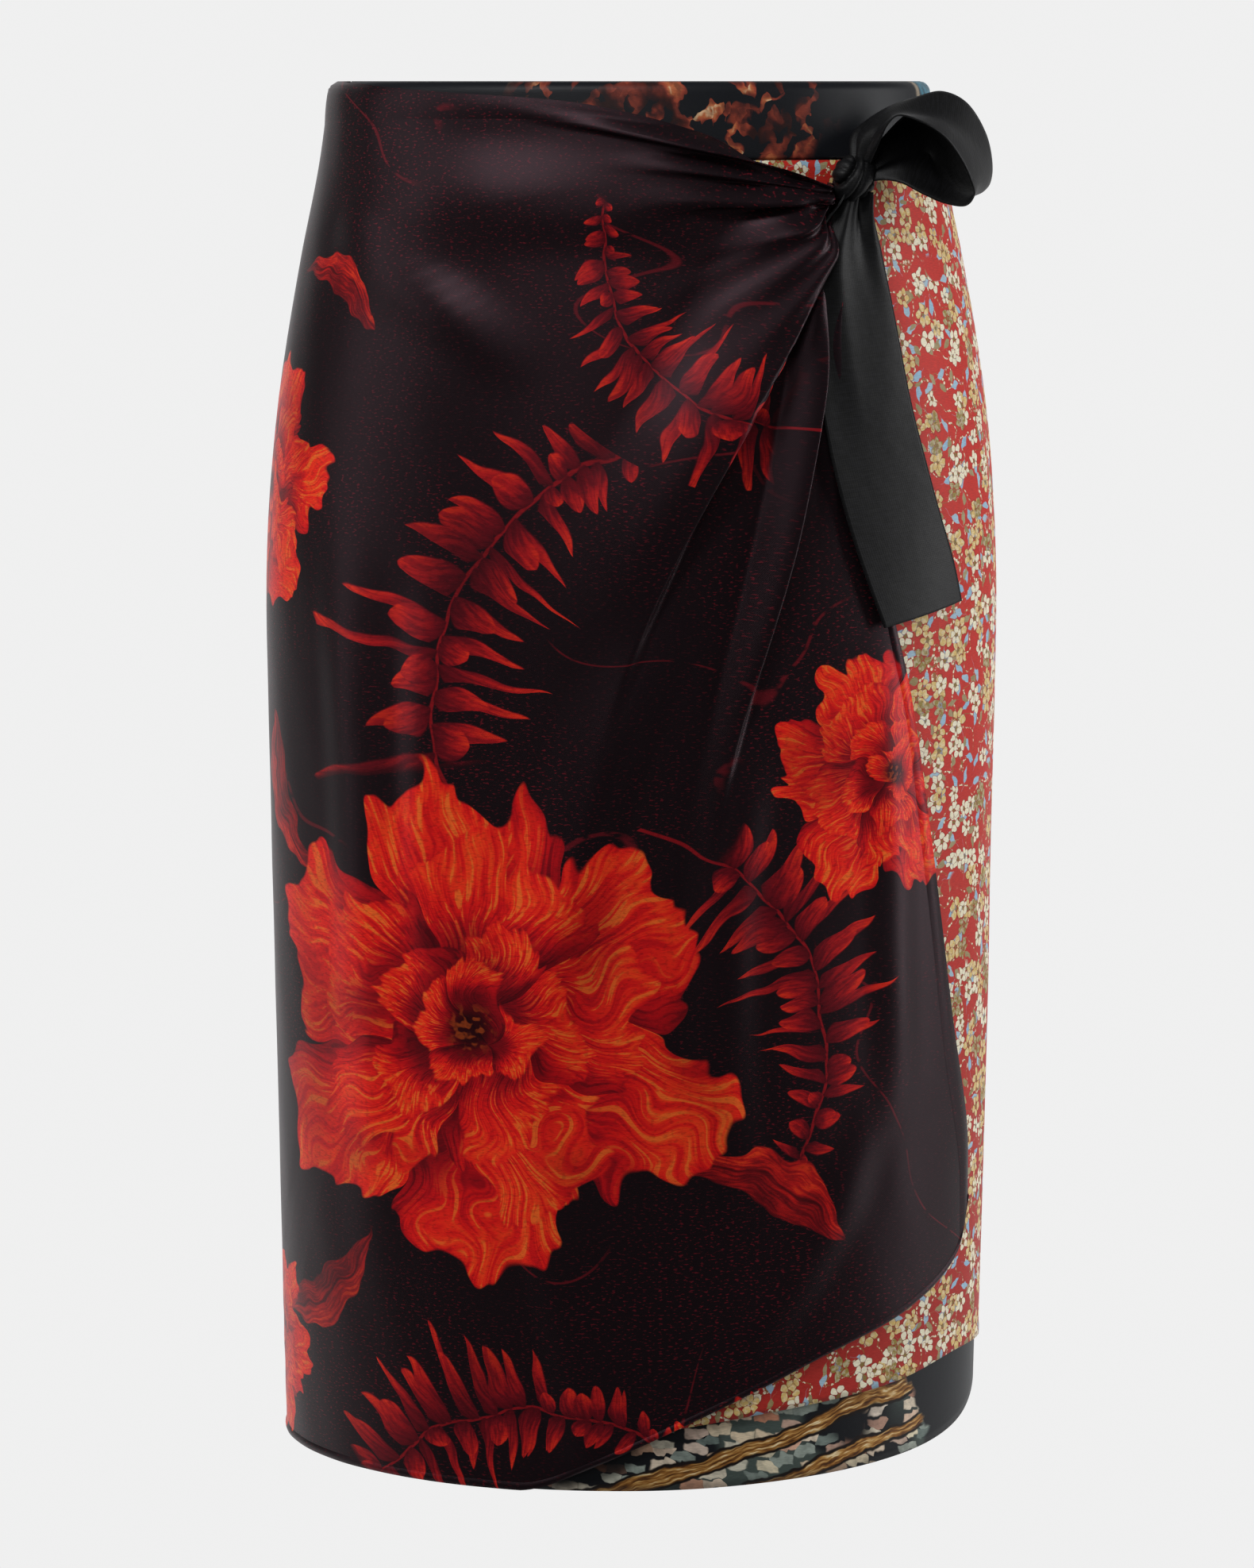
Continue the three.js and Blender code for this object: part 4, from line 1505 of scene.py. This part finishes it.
@dataclass
class Tie(Panel):
    """The black silk tie: its knot, its one loop and its one hanging end."""

    thickness: float = 0.7
    knot_size: tuple[float, float, float] = (10.5, 8.0, 10.5)
    knot_at: tuple[float, float, float] = (105.4, -94.6, -45.3)
    knot_turn: float = 31.0
    columns: int = 34
    loop_flat: tuple[float, float] = (0.043, 0.17)  # width and length in metres
    loop_area: float = 0.0058
    loop_middle: tuple[float, float, float] = (142.0, -90.0, -34.0)
    tail_flat: tuple[float, float] = (0.045, 0.222)

    # down the tail: left turn, left drop, right turn, right drop, lift
    TAIL = (
        (36.2, 52, 42.0, 52, 15.5), (32.8, 66, 42.4, 64, 13.6), (28.6, 85, 43.7, 81, 12.2),
        (28, 110, 45.1, 105, 11.2), (29.5, 148, 46.9, 145, 10.3), (31, 178, 48.8, 172, 9.7),
        (33.5, 208, 52, 203, 9.1), (36.7, 236, 55.6, 229, 8.7), (39.9, 259.4, 58.2, 249.6, 8.5),
    )
    # round the loop: the ribbon's edge next to the body, then the edge away from it
    LOOP = (
        ((106, -93, -38), (112, -99, -39)), ((106, -88, -26), (117, -108, -27)),
        ((112.5, -84, -19), (120.5, -113, -20)), ((123, -80, -12.5), (126, -115, -16)),
        ((136, -75, -8), (137, -113, -19.5)), ((148.5, -71, -5.3), (147, -109.5, -26)),
        ((160.5, -69, -11), (154.5, -106, -35.5)), ((169.5, -68, -25.5), (159.5, -104, -45)),
        ((172.5, -68, -41), (161.5, -103, -52.5)), ((170, -69, -50), (157.5, -103, -57.5)),
        ((164, -70, -46), (148, -104, -56.3)), ((152, -72, -27), (138, -105, -52.3)),
        ((136, -76, -15), (128, -103, -47.6)), ((120, -88, -28), (119.5, -99, -46.5)),
        ((110, -92, -40), (113, -97, -47)),
    )

    def build(self, finishes: Finishes) -> None:
        """Makes and dresses the knot, the loop and the tail."""
        silk = finishes.tie_silk
        dress(self.knot(), silk, "tie_silk", "tie_knot")
        loop = self.sew(
            "tie_bow_loop", self.place_loop, silk, "tie_silk", "tie_loop", columns=150, rows=22
        )
        tail = self.sew("tie_hanging_end", self.place_tail, silk, "tie_silk", "tie_tail")

    def place_tail(self, across: Array, down: Array) -> tuple[Array, Array]:
        """Places the hanging end, gathered at the knot and flat at its cut end."""
        shares = np.linspace(0.0, 1.0, len(self.TAIL))
        left_turn, left_drop, right_turn, right_drop, lift = (
            Curve(tuple(zip(shares, column))).at(down) for column in zip(*self.TAIL)
        )
        turn = mix(left_turn, right_turn, across)
        drop = mix(left_drop, right_drop, across)
        gather = bell(down, 0.0, 0.22)
        waves = 1.5 * np.cos(across * 13.0 + 0.6) + 0.9 * np.cos(across * 23.0 - 1.0 - 5.0 * down)
        roll = 2.2 * bell(across, 0.93, 0.08) * bell(down, 0.0, 0.2)
        cup = 1.4 * (across - 0.5) ** 2 * smoothstep(down, 0.05, 0.5)
        lean = 0.8 * np.sin(down * 7.0 + across * 2.0) * smoothstep(down, 0.1, 0.3)
        tucked = 3.4 * (1 - smoothstep(across, 0.12, 0.42)) * smoothstep(down, 0.04, 0.14)
        lean = lean - tucked * (1 - smoothstep(down, 0.3, 0.7))
        crease = 0.35 * np.cos(across * 9.0 + down * 11.0) * (1 - smoothstep(down, 0.25, 0.75))
        height = lift + waves * gather + roll + cup + lean + crease
        width, length = self.tail_flat
        cloth = np.stack([across * width, -down * length], axis=-1)
        return FORM.point(turn, drop, height), cloth

    def place_loop(self, across: Array, down: Array) -> tuple[Array, Array]:
        """Places the loop between its two edges, gathered where it leaves the knot."""
        shares = np.linspace(0.0, 1.0, len(self.LOOP))
        edges = []
        for side in (0, 1):
            columns = zip(*(row[side] for row in self.LOOP))
            curves = (Curve(tuple(zip(shares, column))) for column in columns)
            edges.append(np.stack([curve.at(across) for curve in curves], axis=-1))
        width = edges[1] - edges[0]
        points = edges[0] + width * down[:, None]
        away = points - np.array(self.loop_middle)
        away = away / np.linalg.norm(away, axis=1)[:, None]
        ends = bell(across, 0.0, 0.12) + bell(across, 1.0, 0.16)
        gather = (1.4 * np.cos(down * 15.0 + 0.8) + 0.6 * np.cos(down * 27.0)) * ends
        soft = 1.2 * np.sin(across * 11.0 + down * 4.0) * np.sin(np.pi * down)
        lip = 0.7 * np.cos(2 * np.pi * down)
        points = points + away * (gather + soft + lip)[:, None]
        return points * MM, np.stack([down, across], axis=-1) * self.loop_flat

    def knot(self) -> bpy.types.Object:
        """The knot: a small bundle of cloth with the tie wound across it."""
        bm = bmesh.new()
        uv = bm.loops.layers.uv.new(CLOTH_UV)
        bmesh.ops.create_uvsphere(bm, u_segments=96, v_segments=56, radius=1.0)
        size = Vector(self.knot_size) * MM
        for vert in bm.verts:
            x, y, z = vert.co
            wound = x * 0.8 - z * 0.6
            run = x * 0.6 + z * 0.8
            band = math.exp(-((wound / 0.46) ** 4))
            pleat = 0.06 * abs(math.sin(9.0 * wound + 1.2 * run)) * band
            pinch = 0.26 * bell(abs(wound), 0.58, 0.09)
            tuck = 0.16 * bell(wound + 0.25 * run, -0.12, 0.06)
            cross = 0.08 * abs(math.sin(6.5 * run + 0.8)) * (1 - band)
            swell = 1.0 + 0.2 * band + pleat + cross - pinch - tuck
            vert.co = vert.co * size * swell
        turn = Matrix.Rotation(math.radians(self.knot_turn), 4, "Z")
        place = Matrix.Translation(Vector(self.knot_at) * MM) @ turn
        bmesh.ops.transform(bm, matrix=place, verts=bm.verts)
        for face in bm.faces:
            face.smooth = True
            for loop in face.loops:
                loop[uv].uv = (loop.vert.co.x, loop.vert.co.z)
        return finish_mesh(bm, "tie_wound_knot")


# --- Studio


@dataclass
class Studio:
    """A pale floor and backdrop, soft lights, and the camera."""

    camera_back: float = 2.38
    camera_side: float = -0.0024
    look_down: float = 8.37
    lens: float = 109.6
    floor_drop: float = 1.04
    wall_back: float = 3.4
    floor_front: float = 0.2
    floor_half: float = 3.0
    sweep: float = 0.9  # radius of the curve from floor to wall
    room_light: float = 0.12

    # name, place, width and height in metres, watts
    LIGHTS = (
        ("left_window", (-1.8, -0.5, 0.3), (0.45, 1.8), 8.0),
        ("right_window", (1.95, -0.1, 0.1), (0.4, 1.8), 26.0),
        ("key", (-1.0, -1.8, 1.9), (0.7, 0.7), 38.0),
        ("front_fill", (-0.4, -2.9, 0.9), (1.0, 1.0), 8.0),
    )
    MIDDLE = Vector((0.0, 0.0, -0.34))  # of the skirt, where the lights point

    def build(self, finishes: Finishes) -> None:
        """Makes the camera, the floor and the lights."""
        self.camera()
        self.backdrop(finishes.paper)
        for name, at, size, watts in self.LIGHTS:
            self.light(name, at, size, watts)
        self.room()
        bpy.context.scene.view_settings.view_transform = "Standard"

    def room(self) -> None:
        """A room that looks as pale as the paper and gives little light of its own."""
        world = bpy.data.worlds.new("soft_room")
        world.use_nodes = True
        tree = world.node_tree
        seen = Wire(tree, tree.nodes.new("ShaderNodeLightPath").outputs["Is Camera Ray"])
        background = tree.nodes["Background"]
        background.inputs["Color"].default_value = (1.0, 1.0, 1.0, 1.0)
        strength = seen * (PAPER_TONE - self.room_light) + self.room_light
        seen.feed(background.inputs["Strength"], strength)
        bpy.context.scene.world = world

    def camera(self) -> None:
        """A camera level with the waist, looking a little down at the middle of the skirt."""
        data = bpy.data.cameras.new("camera")
        data.sensor_width = 36.0
        data.lens = self.lens
        camera = bpy.data.objects.new("camera", data)
        camera.location = (self.camera_side, -self.camera_back, 0.0)
        camera.rotation_euler = (math.radians(90.0 - self.look_down), 0.0, 0.0)
        bpy.context.scene.collection.objects.link(camera)
        bpy.context.scene.camera = camera

    def backdrop(self, paper: bpy.types.Material) -> None:
        """A floor that curves up into a wall behind."""
        bm = bmesh.new()
        bmesh.ops.create_grid(bm, x_segments=1, y_segments=48, size=self.floor_half)
        start = self.wall_back - self.sweep
        curve = self.sweep * math.pi / 2
        for vert in bm.verts:
            run = vert.co.y + self.floor_half - self.floor_front
            bend = min(max((run - start) / curve, 0.0), 1.0) * math.pi / 2
            straight = max(run - start - curve, 0.0)
            y = min(run, start) + self.sweep * math.sin(bend)
            z = self.sweep * (1 - math.cos(bend)) + straight
            vert.co = (vert.co.x, y, z - self.floor_drop)
        for face in bm.faces:
            face.smooth = True
        floor = finish_mesh(bm, "backdrop")
        floor.data.materials.append(paper)

    def light(
        self, name: str, at: tuple[float, float, float], size: tuple[float, float], watts: float
    ) -> None:
        """Hangs a soft light that faces the skirt.

        Args:
            name: the light's name.
            at: its place in metres.
            size: its width and height in metres.
            watts: its power.
        """
        data = bpy.data.lights.new(name, "AREA")
        data.shape = "RECTANGLE"
        data.size, data.size_y = size
        data.energy = watts
        lamp = bpy.data.objects.new(name, data)
        lamp.location = at
        lamp.visible_camera = False
        aim = self.MIDDLE - Vector(at)
        lamp.rotation_euler = aim.to_track_quat("-Z", "Y").to_euler()
        bpy.context.scene.collection.objects.link(lamp)


def main() -> None:
    """Builds the studio and the skirt, and logs each piece."""
    logging.basicConfig(level=logging.INFO, format="%(message)s")
    finishes = Finishes()
    for maker in (Studio(), UnderLayer(), RedPanel(), OuterPanel(), BackPanel(), Tie()):
        maker.build(finishes)
        log.info("built %s", type(maker).__name__)


if __name__ == "__main__":
    main()
